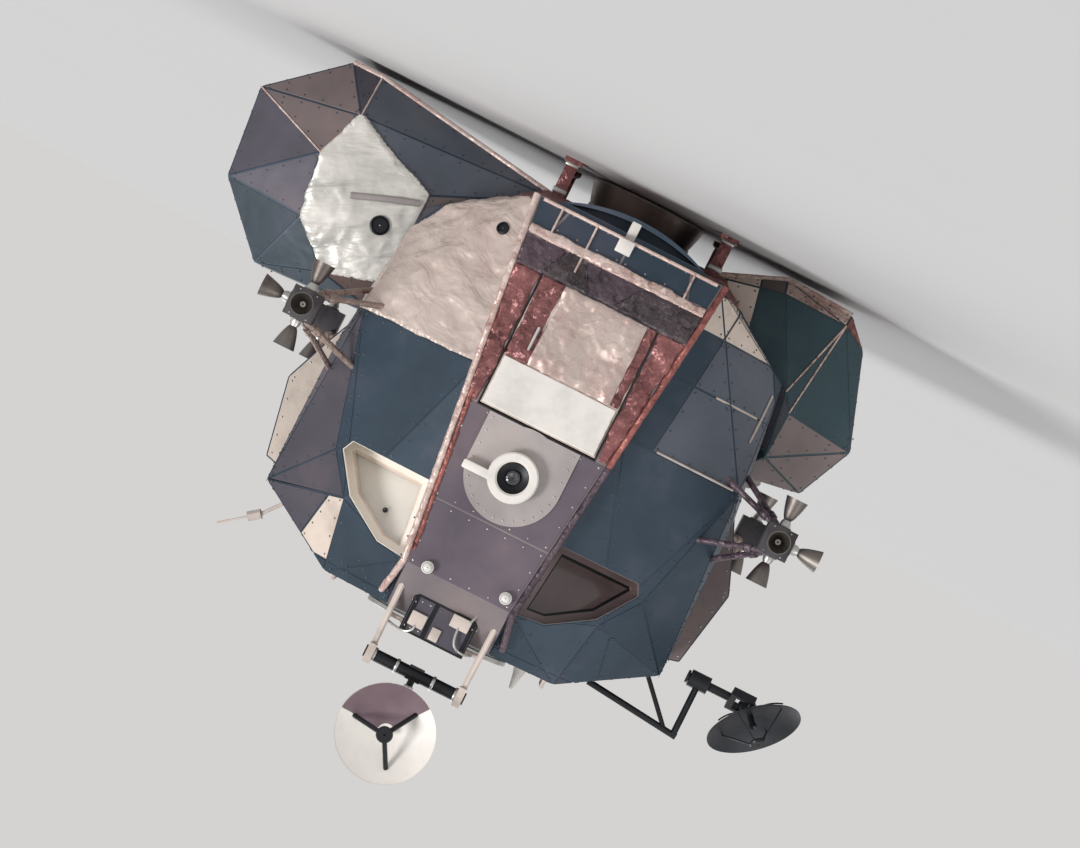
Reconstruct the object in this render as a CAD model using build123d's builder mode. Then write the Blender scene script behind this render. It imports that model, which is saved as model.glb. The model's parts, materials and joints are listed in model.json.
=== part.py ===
"""Ascent stage of a two-stage lunar lander, mm, in builder mode.

X points to port, Y aft and Z up. The origin lies on the thrust axis, on the plane of the four feet.
"""

import os
from math import cos, pi, radians, sin

from build123d import *

os.makedirs("parts", exist_ok=True)

# Heights above the feet
quad_height = 1560
roof_height = 2940
base_height = 260

# Walls and gaps
wall = 60
nose_wall = 40
seal_gap = 8
running_gap = 6
pin_gap = 0.5
seat_gap = 0.3

# Lengths fore and aft of the thrust axis
mid_half_depth = 690
bay_half_depth = 470
face_seam = -1000
aft_bay_end = 1480
aft_rack_end = 1900

# Front band of the cabin, which widens downwards
nose_front = -1850
nose_rear = -1480
nose_top_half = 340
nose_foot_half = 608
nose_brow_z = roof_height - 285
nose_foot_z = base_height + 80
nose_chin_z = base_height + 500
cheek_crease_z = quad_height - 148

# Windows, each on a plane that sweeps back outboard and leans over its foot
window_front = -1640
window_sweep = 0.47
window_lean = -0.28
window_sill_z = roof_height - 780
window_frame = 42
glass_thick = 16
shade_gap = 5
shade_thick = 7
docking_window_length = 305
docking_window_width = 127
docking_window_x = 560
docking_window_y = -1010

# Front hatch, hinged on the starboard side, and its pins
hatch_width = 760
hatch_height = 840
hatch_bottom = base_height + 505
hatch_thick = 50
hatch_step = 4
shield_height = 305
hinge_pin = 16
hinge_barrel = 34
hinge_length = 70
hinge_step = 520
hinge_out = 22
hinge_behind = 26

# Docking tunnel and overhead hatch
tunnel_bore = 813
tunnel_wall = 40
tunnel_top = roof_height + 106
tunnel_ring = 970
tunnel_ring_thick = 32
overhead_lap = 25
overhead_thick = 45

# Tracking light
light_bore = 192
light_outer = 309
light_depth = 95

# Ascent engine
nozzle_exit = 787
nozzle_throat = 160
nozzle_clear = 14
nozzle_top = base_height + 444
nozzle_wall = 9
base_hole = 760
cover_diameter = 920
cover_top = base_height + 990

# Thruster quads
quad_out = 1586
quad_box = 190
jet_exit = 140
jet_throat = 38
jet_chamber = 66
jet_length = 185
jet_wall = 4
strut_diameter = 38

# Rendezvous radar: the shaft runs across, the trunnion stands on its arm
radar_y = -1590
radar_shaft_z = roof_height + 308
radar_arm = 382
radar_dish = 610
radar_dish_depth = 105
radar_bar = 666
radar_bar_diameter = 78
radar_leg_x = 300
radar_offset = 62

# Steerable antenna on its boom
steer_y = -640
steer_boom_x = -1600
steer_boom_top = roof_height - 14
steer_axis_z = roof_height - 385
steer_hub_x = -1935
steer_dish = 600
steer_dish_depth = 95
steer_offset = 70
steer_yaw = 35
steer_pitch = 127
boom_diameter = 44
steer_shaft = 56

# Small pieces
dish_wall = 6
rail_diameter = 44
foot_size = 120
foot_x = 540
foot_y = mid_half_depth - 90
foot_pad = 28
foot_post = 76
foot_bolt = 26
foot_bolt_depth = 90


def mirrored(rows):
    """The rows (x, y, z) with their twins on the other side."""
    return rows + [(-x, y, z) for x, y, z in rows]


def fore_and_aft(rows):
    """The rows (x, half depth, z) as points ahead of the thrust axis and behind it."""
    return [(x, y, z) for x, y, z in rows] + [(x, -y, z) for x, y, z in rows]


def faceted(rows):
    """A solid of flat facets over its corners."""
    with BuildPart() as body:
        ConvexPolyhedron(rows)
    return body.part


def resized(solid, amount):
    """A faceted solid with each facet moved out by the amount, or in where it is negative."""
    reach = 9000
    with BuildPart() as grown:
        Box(reach, reach, reach)
        for facet in solid.faces():
            split(bisect_by=Plane(facet).offset(amount), keep=Keep.BOTTOM)
    return grown.part


def twin(solid):
    """The same solid on the other side of the stage."""
    with BuildPart() as other:
        add(solid)
        mirror(about=Plane.YZ, mode=Mode.REPLACE)
    return other.part


def block(low, high):
    """A block between two corners, kept apart from any builder."""
    size = [b - a for a, b in zip(low, high)]
    middle = [(a + b) / 2 for a, b in zip(low, high)]
    return Pos(*middle) * Box(*size, mode=Mode.PRIVATE)


def rings(rows, sides):
    """The corners of rings of flat sides, one ring for each row (radius, height)."""
    turns = [2 * pi * (side + 0.5) / sides for side in range(sides)]
    return [(radius * cos(turn), radius * sin(turn), height) for radius, height in rows for turn in turns]


def rod(start, end, diameter):
    """A strut of eight flat sides between two points, added to the piece that is being made."""
    line = Vector(*end) - Vector(*start)
    with Locations(Plane(origin=Vector(*start), z_dir=line).location):
        ConvexPolyhedron(rings([(diameter / 2, 0), (diameter / 2, line.length)], 8))


def flare(throat, mouth, start, end, steps):
    """Rows (radius, height) of a bell or bowl that widens quickly at its throat and slowly at its mouth."""
    shares = [(step / steps) ** 1.5 for step in range(steps + 1)]
    return [(throat + (mouth - throat) * share ** 0.62, start + (end - start) * share) for share in shares]


def bowl(hub, mouth, floor, depth, steps):
    """Rows (radius, height) of a dish that opens upwards from a hub, as a parabola in straight steps."""
    radii = [hub + (mouth - hub) * step / steps for step in range(steps + 1)]
    return [(radius, floor + depth * (radius / mouth) ** 2) for radius in radii]


def save(piece, name):
    """Label a finished piece and write it."""
    piece.label = name
    export_step(piece, "parts/" + name + ".step")


def cut_from(shell, name, low, high):
    """Write the part of a shell that lies between two corners."""
    with BuildPart() as panel:
        add(shell)
        add(block(low, high), mode=Mode.INTERSECT)
    save(panel.part, name)


def nose_half(z):
    """Half the width of the front band at a height."""
    share = (nose_brow_z - z) / (nose_brow_z - nose_foot_z)
    return nose_top_half + share * (nose_foot_half - nose_top_half)


# Section of the cabin and midsection, one side: half width, height
section = [
    (775, roof_height),
    (1045, roof_height - 195),
    (1345, roof_height - 325),
    (1330, quad_height + 90),
    (1270, cheek_crease_z),
    (1222, base_height + 429),
    (613, base_height),
]

# Front corners of the cabin, one side: x, y, z
cabin_corners = [
    (nose_top_half, -1540, roof_height),
    (775, -1330, roof_height),
    (1045, -1160, roof_height - 195),
    (1345, -990, roof_height - 325),
    (385, -1745, roof_height - 275),
    (850, -1560, roof_height - 450),
    (1030, -1450, roof_height - 690),
    (1330, -1140, quad_height + 90),
    (nose_half(cheek_crease_z), -1765, cheek_crease_z),
    (1265, -1350, cheek_crease_z),
    (1222, -930, base_height + 429),
    (nose_foot_half, -1400, nose_foot_z),
]
section_ahead = [(x, -mid_half_depth, z) for x, z in section]
section_behind = [(x, mid_half_depth, z) for x, z in section]
cabin_outer = faceted(mirrored(cabin_corners + section_ahead))
cabin_room = resized(faceted(mirrored(cabin_corners + section_behind)), -wall)

# Front band, one side: x, y, z
nose_corners = [
    (nose_top_half, -1560, roof_height),
    (nose_top_half, nose_front, nose_brow_z),
    (nose_half(nose_chin_z), nose_front, nose_chin_z),
    (nose_foot_half, -1690, nose_foot_z),
]
nose_ends = [(nose_top_half, roof_height), (nose_foot_half, nose_foot_z)]
nose_outer = faceted(mirrored(nose_corners + [(x, nose_rear, z) for x, z in nose_ends]))
nose_long = faceted(mirrored(nose_corners + [(x, 0, z) for x, z in nose_ends]))
nose_room = resized(nose_long, -nose_wall)

# Outline of a window recess, port: x, z
window_outline = [
    (nose_half(nose_brow_z) + 36, roof_height - 295),
    (560, roof_height - 310),
    (828, roof_height - 475),
    (995, roof_height - 708),
    (960, window_sill_z),
    (nose_half(window_sill_z) + 36, window_sill_z),
]


def window_y(x, z):
    """Where the plane of the port window lies, fore and aft."""
    inner_x, inner_z = window_outline[0]
    return window_front + window_sweep * (x - inner_x) + window_lean * (z - inner_z)


recess_reach = 900
recess_back = [(x, window_y(x, z), z) for x, z in window_outline]
recess = faceted(recess_back + [(x, y - recess_reach, z) for x, y, z in recess_back])
window_plane = Plane(
    origin=recess_back[0],
    x_dir=(1, window_sweep, 0),
    z_dir=(window_sweep, -1, window_lean),
)
window_corners = [tuple(window_plane.to_local_coords(Vector(*p)))[:2] for p in recess_back]

# Opening of the port window, cut square to its plane, and the pane in it
with BuildPart() as window_hole:
    with BuildSketch(window_plane):
        with BuildLine():
            Polyline(*window_corners, close=True)
        make_face()
        offset(amount=-window_frame, kind=Kind.INTERSECTION, mode=Mode.REPLACE)
    extrude(amount=wall * 3, both=True)
with BuildPart() as window_glass:
    with BuildSketch(window_plane.offset(-wall / 2)):
        with BuildLine():
            Polyline(*window_corners, close=True)
        make_face()
        offset(amount=-window_frame - seat_gap, kind=Kind.INTERSECTION, mode=Mode.REPLACE)
    extrude(amount=glass_thick / 2, both=True)
save(window_glass.part, "window_glass_port")

# Sunshade fixed behind the port pane
with BuildPart() as window_shade:
    with BuildSketch(window_plane.offset(-wall / 2 - glass_thick / 2 - shade_gap)):
        with BuildLine():
            Polyline(*window_corners, close=True)
        make_face()
        offset(amount=-window_frame - seat_gap, kind=Kind.INTERSECTION, mode=Mode.REPLACE)
    extrude(amount=-shade_thick)
save(window_shade.part, "window_shade_port")
save(twin(window_glass.part), "window_glass_starboard")

# The space inside the cabin, drawn in round the window recesses
with BuildPart() as cabin_space:
    add(cabin_room)
    add(resized(recess, wall), mode=Mode.SUBTRACT)
    add(twin(resized(recess, wall)), mode=Mode.SUBTRACT)

# One shell for the whole cabin, cut where its panels meet
with BuildPart() as cabin_shell:
    add(cabin_outer)
    add(recess, mode=Mode.SUBTRACT)
    add(twin(recess), mode=Mode.SUBTRACT)
    add(cabin_space.part, mode=Mode.SUBTRACT)
    add(nose_outer, mode=Mode.SUBTRACT)
    add(nose_room, mode=Mode.SUBTRACT)
    add(window_hole.part, mode=Mode.SUBTRACT)
    add(twin(window_hole.part), mode=Mode.SUBTRACT)
    with Locations((docking_window_x, docking_window_y, roof_height)):
        Box(docking_window_width, docking_window_length, wall * 4, mode=Mode.SUBTRACT)

far = 3000
roof_seam = roof_height - wall
floor_seam = base_height + 2 * wall
# Panels of the cabin: name, low corner, high corner
cabin_panels = [
    ("cabin_roof", (-far, -far, roof_seam), (far, 0, far * 2)),
    ("cabin_floor", (-far, -far, 0), (far, 0, floor_seam)),
    ("cabin_face_port", (0, -far, cheek_crease_z), (far, face_seam, roof_seam)),
    ("cabin_face_starboard", (-far, -far, cheek_crease_z), (0, face_seam, roof_seam)),
    ("cabin_cheek_port", (0, -far, floor_seam), (far, face_seam, cheek_crease_z)),
    ("cabin_cheek_starboard", (-far, -far, floor_seam), (0, face_seam, cheek_crease_z)),
    ("cabin_side_port", (0, face_seam, floor_seam), (far, 0, roof_seam)),
    ("cabin_side_starboard", (-far, face_seam, floor_seam), (0, 0, roof_seam)),
]
for name, low, high in cabin_panels:
    cut_from(cabin_shell.part, name, low, high)

with BuildPart() as docking_window_glass:
    with Locations((docking_window_x, docking_window_y, roof_height - wall / 2)):
        Box(
            docking_window_width - 2 * seat_gap,
            docking_window_length - 2 * seat_gap,
            glass_thick,
        )
save(docking_window_glass.part, "docking_window_glass")

# Front band with the hatch opening, and the pins of the hatch behind it
hatch_middle = hatch_bottom + hatch_height / 2
hatch_inner = nose_front + nose_wall
hinge_x = -hatch_width / 2 - hinge_out
hinge_y = hatch_inner + hinge_behind
hinge_rows = [hatch_middle - hinge_step / 2, hatch_middle + hinge_step / 2]
hinge_ear = 14
with BuildPart() as front_band:
    add(nose_outer)
    add(nose_room, mode=Mode.SUBTRACT)
    with Locations((0, nose_front, hatch_middle)):
        Box(
            hatch_width + 2 * seal_gap,
            wall * 3,
            hatch_height + 2 * seal_gap,
            mode=Mode.SUBTRACT,
        )
    for z in hinge_rows:
        for side in (-1, 1):
            ear_z = z + side * (hinge_length / 2 + running_gap + hinge_ear / 2)
            with Locations((hinge_x, (hatch_inner + hinge_y) / 2 + hinge_pin / 2, ear_z)):
                Box(hinge_barrel, hinge_behind + hinge_pin, hinge_ear)
        with Locations((hinge_x, hinge_y, z)):
            Cylinder(hinge_pin / 2, hinge_length + 2 * (running_gap + hinge_ear))
save(front_band.part, "cabin_front_band")

with BuildPart() as forward_hatch:
    with Locations((0, nose_front + hatch_step + hatch_thick / 2, hatch_middle)):
        Box(hatch_width, hatch_thick, hatch_height)
    for z in hinge_rows:
        arm_low = (hinge_x, nose_front + hatch_step + hatch_thick - 2, z - hinge_length / 2)
        arm_high = (-hatch_width / 2 + 60, hinge_y + hinge_barrel / 2, z + hinge_length / 2)
        add(block((arm_low[0] + seal_gap + hinge_out, arm_low[1], arm_low[2]), arm_high))
        add(block((hinge_x, hinge_y - 6, arm_low[2]), arm_high))
        with Locations((hinge_x, hinge_y, z)):
            Cylinder(hinge_barrel / 2, hinge_length)
            Cylinder(hinge_pin / 2 + pin_gap, hinge_length, mode=Mode.SUBTRACT)
save(forward_hatch.part, "forward_hatch")

# Folded shield over the upper third of the hatch
shield_half = hatch_width / 2 - 10
shield_top = hatch_bottom + hatch_height - 8
shield_rows = [
    (shield_half, nose_front - 38, shield_top),
    (shield_half, nose_front + hatch_step, shield_top),
    (shield_half, nose_front - 6, shield_top - shield_height),
    (shield_half, nose_front + hatch_step, shield_top - shield_height),
]
save(faceted(mirrored(shield_rows)), "hatch_shield")

# Grey arched plate round the tracking light
arch_half = 300
arch_foot = hatch_bottom + hatch_height + 20
arch_top = arch_foot + 590
light_z = arch_top - 290
plate_thick = 14
light_sides = 32
with BuildPart() as arch_plate:
    with BuildSketch(Plane.XZ.offset(-nose_front)):
        with Locations((0, arch_foot)):
            arch_side = arch_top - arch_half - arch_foot
            Rectangle(2 * arch_half, arch_side, align=(Align.CENTER, Align.MIN))
        with Locations((0, arch_top - arch_half)):
            Circle(arch_half)
        with Locations((0, light_z)):
            RegularPolygon(light_outer / 2 + seat_gap, light_sides, mode=Mode.SUBTRACT)
    extrude(amount=plate_thick)
save(arch_plate.part, "arch_plate")

tail_size = (230, 40, 56)
tail_place = (190, nose_front - 70, light_z - 35)
with BuildPart() as tracking_light:
    with BuildSketch(Plane.XZ.offset(-nose_front)):
        with Locations((0, light_z)):
            RegularPolygon(light_outer / 2, light_sides)
            RegularPolygon(light_bore / 2, light_sides, mode=Mode.SUBTRACT)
    extrude(amount=light_depth)
    with BuildSketch(Plane.XZ.offset(-nose_front)):
        with Locations((0, light_z)):
            RegularPolygon(light_outer / 2, light_sides)
    extrude(amount=plate_thick)
    with Locations(Location(tail_place, (0, -14, 0))):
        Box(*tail_size)
save(tracking_light.part, "tracking_light")

# Instrument console between the walls of the front band
with BuildPart() as console:
    add(resized(nose_long, -nose_wall - seat_gap))
    add(
        block((-far, -1640, window_sill_z - 460), (far, -1500, window_sill_z + 40)),
        mode=Mode.INTERSECT,
    )
save(console.part, "instrument_console")

# Dished pan under the foot of the front band
pan_top = nose_foot_z - seat_gap
pan_half = 520
pan_depth = 130
pan_wall = 30
pan_rear = 1470
pan_length = 190
with BuildPart() as chin_pan:
    with BuildSketch(Plane.XZ.offset(pan_rear)):
        with BuildLine():
            ThreePointArc((-pan_half, pan_top), (0, pan_top - pan_depth), (pan_half, pan_top))
            Line((pan_half, pan_top), (-pan_half, pan_top))
        make_face()
    extrude(amount=pan_length)
    with BuildSketch(Plane.XZ.offset(pan_rear + pan_wall)):
        with BuildLine():
            inner_half = pan_half - 3 * pan_wall
            inner_low = pan_top - pan_depth + pan_wall
            ThreePointArc((-inner_half, pan_top - pan_wall), (0, inner_low), (inner_half, pan_top - pan_wall))
            Line((inner_half, pan_top - pan_wall), (-inner_half, pan_top - pan_wall))
        make_face()
    extrude(amount=pan_length, mode=Mode.SUBTRACT)
save(chin_pan.part, "chin_pan")

# Midsection with its bulkheads, roof and base
mid_outer = faceted(mirrored(section_ahead + section_behind))
with BuildPart() as mid_shell:
    add(mid_outer)
    add(resized(mid_outer, -wall), mode=Mode.SUBTRACT)
    add(
        block((-720, -far, base_height + 820), (720, 0, roof_height - 140)),
        mode=Mode.SUBTRACT,
    )
    with Locations((0, 0, roof_height)):
        Cylinder(tunnel_bore / 2, wall * 4, mode=Mode.SUBTRACT)
    with Locations((0, 0, base_height)):
        Cylinder(base_hole / 2, wall * 4, mode=Mode.SUBTRACT)
base_seam = base_height + wall
cut_from(mid_shell.part, "midsection_hull", (-far, -far, base_seam), (far, far, roof_seam))

# Overhead hatch under the roof, hung on two pins behind it
overhead_radius = tunnel_bore / 2 + overhead_lap
overhead_top = roof_height - wall - running_gap
drop_y = overhead_radius + 42
drop_z = overhead_top - hinge_barrel / 2 - 6
drop_columns = [-150, 150]
with BuildPart() as mid_roof:
    add(mid_shell.part)
    add(block((-far, -far, roof_seam), (far, far, far * 2)), mode=Mode.INTERSECT)
    for x in drop_columns:
        for side in (-1, 1):
            ear_x = x + side * (hinge_length / 2 + running_gap + hinge_ear / 2)
            ear_low = (ear_x - hinge_ear / 2, drop_y - hinge_barrel / 2, drop_z - hinge_barrel / 2)
            add(block(ear_low, (ear_x + hinge_ear / 2, drop_y + hinge_barrel / 2, roof_seam)))
        with Locations(Location((x, drop_y, drop_z), (0, 90, 0))):
            Cylinder(hinge_pin / 2, hinge_length + 2 * (running_gap + hinge_ear))
save(mid_roof.part, "midsection_roof")

with BuildPart() as overhead_hatch:
    with Locations((0, 0, overhead_top - overhead_thick / 2)):
        Cylinder(overhead_radius, overhead_thick)
    for x in drop_columns:
        arm_low = (x - hinge_length / 2, overhead_radius - 60, drop_z - 9)
        add(block(arm_low, (x + hinge_length / 2, drop_y, drop_z + 9)))
        with Locations(Location((x, drop_y, drop_z), (0, 90, 0))):
            Cylinder(hinge_barrel / 2, hinge_length)
            Cylinder(hinge_pin / 2 + pin_gap, hinge_length, mode=Mode.SUBTRACT)
save(overhead_hatch.part, "overhead_hatch")

# Docking tunnel on the roof, with the ring and the funnel in it
with BuildPart() as docking_tunnel:
    with BuildSketch(Plane.XY.offset(roof_height)):
        Circle(tunnel_bore / 2 + tunnel_wall)
        Circle(tunnel_bore / 2, mode=Mode.SUBTRACT)
    extrude(amount=tunnel_top - roof_height)
    with BuildSketch(Plane.XY.offset(tunnel_top - tunnel_ring_thick)):
        Circle(tunnel_ring / 2)
        Circle(tunnel_bore / 2, mode=Mode.SUBTRACT)
    extrude(amount=tunnel_ring_thick)
save(docking_tunnel.part, "docking_tunnel")

# Engine block under its cover, and the bell below it
cover_seat = base_height + wall
bell_seat = nozzle_exit / 2 - 14
cover_sides = 24
with BuildPart() as engine_block:
    ConvexPolyhedron(rings([(cover_diameter / 2, cover_seat), (cover_diameter / 2, cover_top)], cover_sides))
    bell_room = [(bell_seat, cover_seat - 10), (bell_seat, nozzle_top)]
    ConvexPolyhedron(rings(bell_room, cover_sides), mode=Mode.SUBTRACT)
save(engine_block.part, "engine_block")

nozzle_sides = 36
nozzle_cap = 40
nozzle_rows = flare(nozzle_throat / 2, nozzle_exit / 2, nozzle_top, nozzle_clear, 4)
lining_throat = nozzle_throat / 2 - nozzle_wall
lining_exit = nozzle_exit / 2 - nozzle_wall
lining_rows = flare(lining_throat, lining_exit, nozzle_top - nozzle_cap, nozzle_clear, 4)
with BuildPart() as engine_nozzle:
    ConvexPolyhedron(rings(nozzle_rows, nozzle_sides))
    ConvexPolyhedron(rings(lining_rows, nozzle_sides), mode=Mode.SUBTRACT)
save(engine_nozzle.part, "engine_nozzle")

# Aft equipment bay, one side: x, y, z
aft_corners = [
    (700, mid_half_depth, roof_height - 200),
    (1500, mid_half_depth, roof_height - 395),
    (1600, mid_half_depth, quad_height + 460),
    (1478, mid_half_depth, quad_height + 150),
    (1120, mid_half_depth, base_height + 660),
    (640, aft_bay_end, roof_height - 300),
    (1370, aft_bay_end, roof_height - 470),
    (1440, aft_bay_end, quad_height + 460),
    (1370, aft_bay_end, quad_height + 150),
    (1020, aft_bay_end, base_height + 740),
]
aft_bay = faceted(mirrored(aft_corners))
save(aft_bay, "aft_equipment_bay")

# Equipment rack on the aft bay, one side: x, y, z
rack_corners = [
    (1080, aft_bay_end, roof_height - 520),
    (1080, aft_bay_end, base_height + 970),
    (940, aft_rack_end, roof_height - 620),
    (940, aft_rack_end, base_height + 1070),
]
save(faceted(mirrored(rack_corners)), "aft_equipment_rack")

# Tank bays: x, half depth, z, with the hubs where the front facets meet, from their level above the base
bay_level = base_height + 1300
port_rows = [
    (1150, bay_half_depth, bay_level - 140),
    (1847, bay_half_depth, bay_level - 132),
    (2048, bay_half_depth, bay_level - 100),
    (2438, bay_half_depth, bay_level - 510),
    (2500, bay_half_depth, bay_level - 1100),
    (2048, bay_half_depth, bay_level - 1490),
    (1847, bay_half_depth, bay_level - 1490),
    (500, bay_half_depth, base_height + 6),
    (1640, 650, bay_level - 235),
    (1900, 700, bay_level - 490),
    (1967, 755, bay_level - 891),
    (1845, 700, bay_level - 1205),
    (1250, 690, bay_level - 350),
    (1250, 690, bay_level - 950),
]
starboard_rows = [
    (-1150, bay_half_depth, bay_level - 250),
    (-1640, bay_half_depth, bay_level - 330),
    (-1810, bay_half_depth, bay_level - 700),
    (-1600, bay_half_depth, bay_level - 1300),
    (-1440, bay_half_depth, bay_level - 1470),
    (-985, bay_half_depth, bay_level - 1490),
    (-500, bay_half_depth, base_height + 6),
    (-1333, 735, bay_level - 431),
    (-1344, 755, bay_level - 742),
    (-1270, 755, bay_level - 853),
    (-1430, 600, bay_level - 1390),
    (-1000, 600, bay_level - 1400),
]
for name, rows in (("tank_bay_port", port_rows), ("tank_bay_starboard", starboard_rows)):
    with BuildPart() as tank_bay:
        ConvexPolyhedron(fore_and_aft(rows))
        add(mid_outer, mode=Mode.SUBTRACT)
        add(cabin_outer, mode=Mode.SUBTRACT)
        add(aft_bay, mode=Mode.SUBTRACT)
    save(tank_bay.part, name)


# One thruster, opening upwards: its chamber and its bell
jet_sides = 12
chamber_rows = [(jet_chamber / 2, -10), (jet_chamber / 2, 28), (jet_throat / 2, 48)]
jet_rows = flare(jet_throat / 2, jet_exit / 2, 46, jet_length, 2)
jet_lining = flare(jet_throat / 2 - jet_wall, jet_exit / 2 - jet_wall, 60, jet_length, 2)
with BuildPart() as jet_bell:
    ConvexPolyhedron(rings(chamber_rows, jet_sides))
    ConvexPolyhedron(rings(jet_rows, jet_sides))
    ConvexPolyhedron(rings(jet_lining, jet_sides), mode=Mode.SUBTRACT)

# Thruster quads: name, side, end, and where the struts reach inside the shell
fore_roots = [(1180, -1040, 360), (1180, -1040, -330), (1000, -1300, 260), (1000, -1300, -260)]
aft_roots = [(1340, 1000, 400), (1300, 1000, 100), (1340, 1420, 420), (1300, 1420, 120)]
quad_rows = [
    ("thruster_quad_front_port", 1, -1, fore_roots),
    ("thruster_quad_front_starboard", -1, -1, fore_roots),
    ("thruster_quad_aft_port", 1, 1, aft_roots),
    ("thruster_quad_aft_starboard", -1, 1, aft_roots),
]
for name, side, end, roots in quad_rows:
    middle = (side * quad_out, end * quad_out, quad_height)
    half = quad_box / 2
    with BuildPart() as quad:
        with Locations(middle):
            Box(quad_box, quad_box, quad_box)
        chamfer(quad.edges().filter_by(Axis.Z), quad_box / 6)
        for way in ((0, 0, 1), (0, 0, -1), (side, 0, 0), (0, end, 0)):
            flange = Vector(*middle) + Vector(*way) * half
            with Locations(Plane(origin=flange, z_dir=way).location):
                add(jet_bell.part)
        for x, y, z in roots:
            near_z = quad_height + (half - 30 if z > 0 else 30 - half)
            rod((middle[0], middle[1], near_z), (side * x, y, quad_height + z), strut_diameter)
        add(cabin_outer, mode=Mode.SUBTRACT)
        add(aft_bay, mode=Mode.SUBTRACT)
    save(quad.part, name)

# Pedestal of the radar: two A-frames tied to the housing between them
eye = radar_bar_diameter + 44
eye_length = 46
leg_spread = 130
housing_half = 210
housing_depth = 240
housing_height = 260
housing_middle = nose_brow_z + 250
tie_z = nose_brow_z + 330
with BuildPart() as radar_pedestal:
    for side in (-1, 1):
        x = side * radar_leg_x
        for y in (radar_y - leg_spread, radar_y + leg_spread):
            rod((x, radar_y, radar_shaft_z), (side * (radar_leg_x + 10), y, nose_brow_z + 40), 40)
        with Locations((x, radar_y, radar_shaft_z)):
            Box(eye_length, eye, eye)
        rod((side * (housing_half + seat_gap), radar_y, tie_z), (side * (radar_leg_x + 6), radar_y, tie_z), 30)
        rod((side * (radar_leg_x + 6), radar_y - 74, tie_z), (side * (radar_leg_x + 6), radar_y + 74, tie_z), 34)
    add(nose_outer, mode=Mode.SUBTRACT)
    add(cabin_outer, mode=Mode.SUBTRACT)
    with Locations(Location((0, radar_y, radar_shaft_z), (0, 90, 0))):
        Cylinder(radar_bar_diameter / 2 + pin_gap, radar_bar, mode=Mode.SUBTRACT)
save(radar_pedestal.part, "radar_pedestal")

# Housing of the radar's electronics on its two posts
with BuildPart() as radar_housing:
    with Locations((0, radar_y, housing_middle)):
        Box(2 * housing_half, housing_depth, housing_height)
    chamfer(radar_housing.edges().filter_by(Axis.Z), 24)
    for side in (-1, 1):
        rod((side * 120, radar_y, housing_middle - 100), (side * 160, radar_y, nose_brow_z), 60)
    add(nose_outer, mode=Mode.SUBTRACT)
    add(cabin_outer, mode=Mode.SUBTRACT)
save(radar_housing.part, "radar_housing")

# Shaft of the radar: the bar in its eyes, the arm behind the dish, and the fork with its pin
radar_hub_z = radar_shaft_z + radar_arm
hub_radius = 54
hub_back = 30
fork_gap = hub_radius + running_gap
fork_thick = 24
fork_reach = 105
fork_half = 30
with BuildPart() as radar_shaft:
    with Locations(Location((0, radar_y, radar_shaft_z), (0, 90, 0))):
        Cylinder(radar_bar_diameter / 2, radar_bar)
    with Locations((0, radar_y + fork_reach / 2, radar_shaft_z)):
        Box(96, fork_reach + 40, 84)
    arm_top = radar_hub_z + fork_gap + fork_thick
    rod((0, radar_y + fork_reach, radar_shaft_z), (0, radar_y + fork_reach, arm_top), 46)
    for level in (radar_hub_z - fork_gap - fork_thick, radar_hub_z + fork_gap):
        fork_low = (-fork_half, radar_y - fork_half, level)
        add(block(fork_low, (fork_half, radar_y + fork_reach, level + fork_thick)))
    with Locations((0, radar_y, radar_hub_z)):
        Cylinder(hinge_pin, 2 * (fork_gap + fork_thick))
save(radar_shaft.part, "radar_shaft")


dish_sides = 24
feed_radius = 52
feed_thick = 26
stay_width = 12


def dish(pivot, along, pin_axis, diameter, depth, offset_out, stay_turns):
    """A dish that opens along a direction, on a hub bored for its pin, with its feed and its stays."""
    ahead = Vector(*along).normalized()
    across = ahead.cross(Vector(*pin_axis)).normalized()
    radius = diameter / 2
    back = bowl(hub_radius, radius, offset_out - dish_wall, depth, 3)
    front = bowl(hub_radius, radius, offset_out, depth, 3)
    feed = offset_out + depth * 1.9
    feed_plane = Plane(origin=pivot, x_dir=across, z_dir=ahead)
    with BuildPart() as antenna:
        with Locations(feed_plane.location):
            ConvexPolyhedron(rings([(hub_radius, -hub_back), (hub_radius, offset_out)], dish_sides))
            ConvexPolyhedron(rings([*back, (radius, offset_out + depth)], dish_sides))
            ConvexPolyhedron(rings([*front, (radius, offset_out + 2 * depth)], dish_sides), mode=Mode.SUBTRACT)
            ConvexPolyhedron(rings([(feed_radius, feed), (feed_radius, feed + feed_thick)], 12))
        for turn in stay_turns:
            reach = Vector(cos(radians(turn)), sin(radians(turn)), 0)
            root = reach * radius * 0.7 + Vector(0, 0, offset_out + depth * 0.46)
            tip = reach * 40 + Vector(0, 0, feed + 10)
            rod(feed_plane.from_local_coords(root), feed_plane.from_local_coords(tip), stay_width)
        with Locations(Plane(origin=pivot, x_dir=ahead, z_dir=pin_axis).location):
            Cylinder(hinge_pin + pin_gap, hub_radius * 4, mode=Mode.SUBTRACT)
    return antenna.part


radar_hub = (0, radar_y, radar_hub_z)
radar_stays = (-63, 57, 177)
radar_antenna = dish(radar_hub, (0, -1, 0), (0, 0, 1), radar_dish, radar_dish_depth, radar_offset, radar_stays)
save(radar_antenna, "radar_dish")

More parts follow.
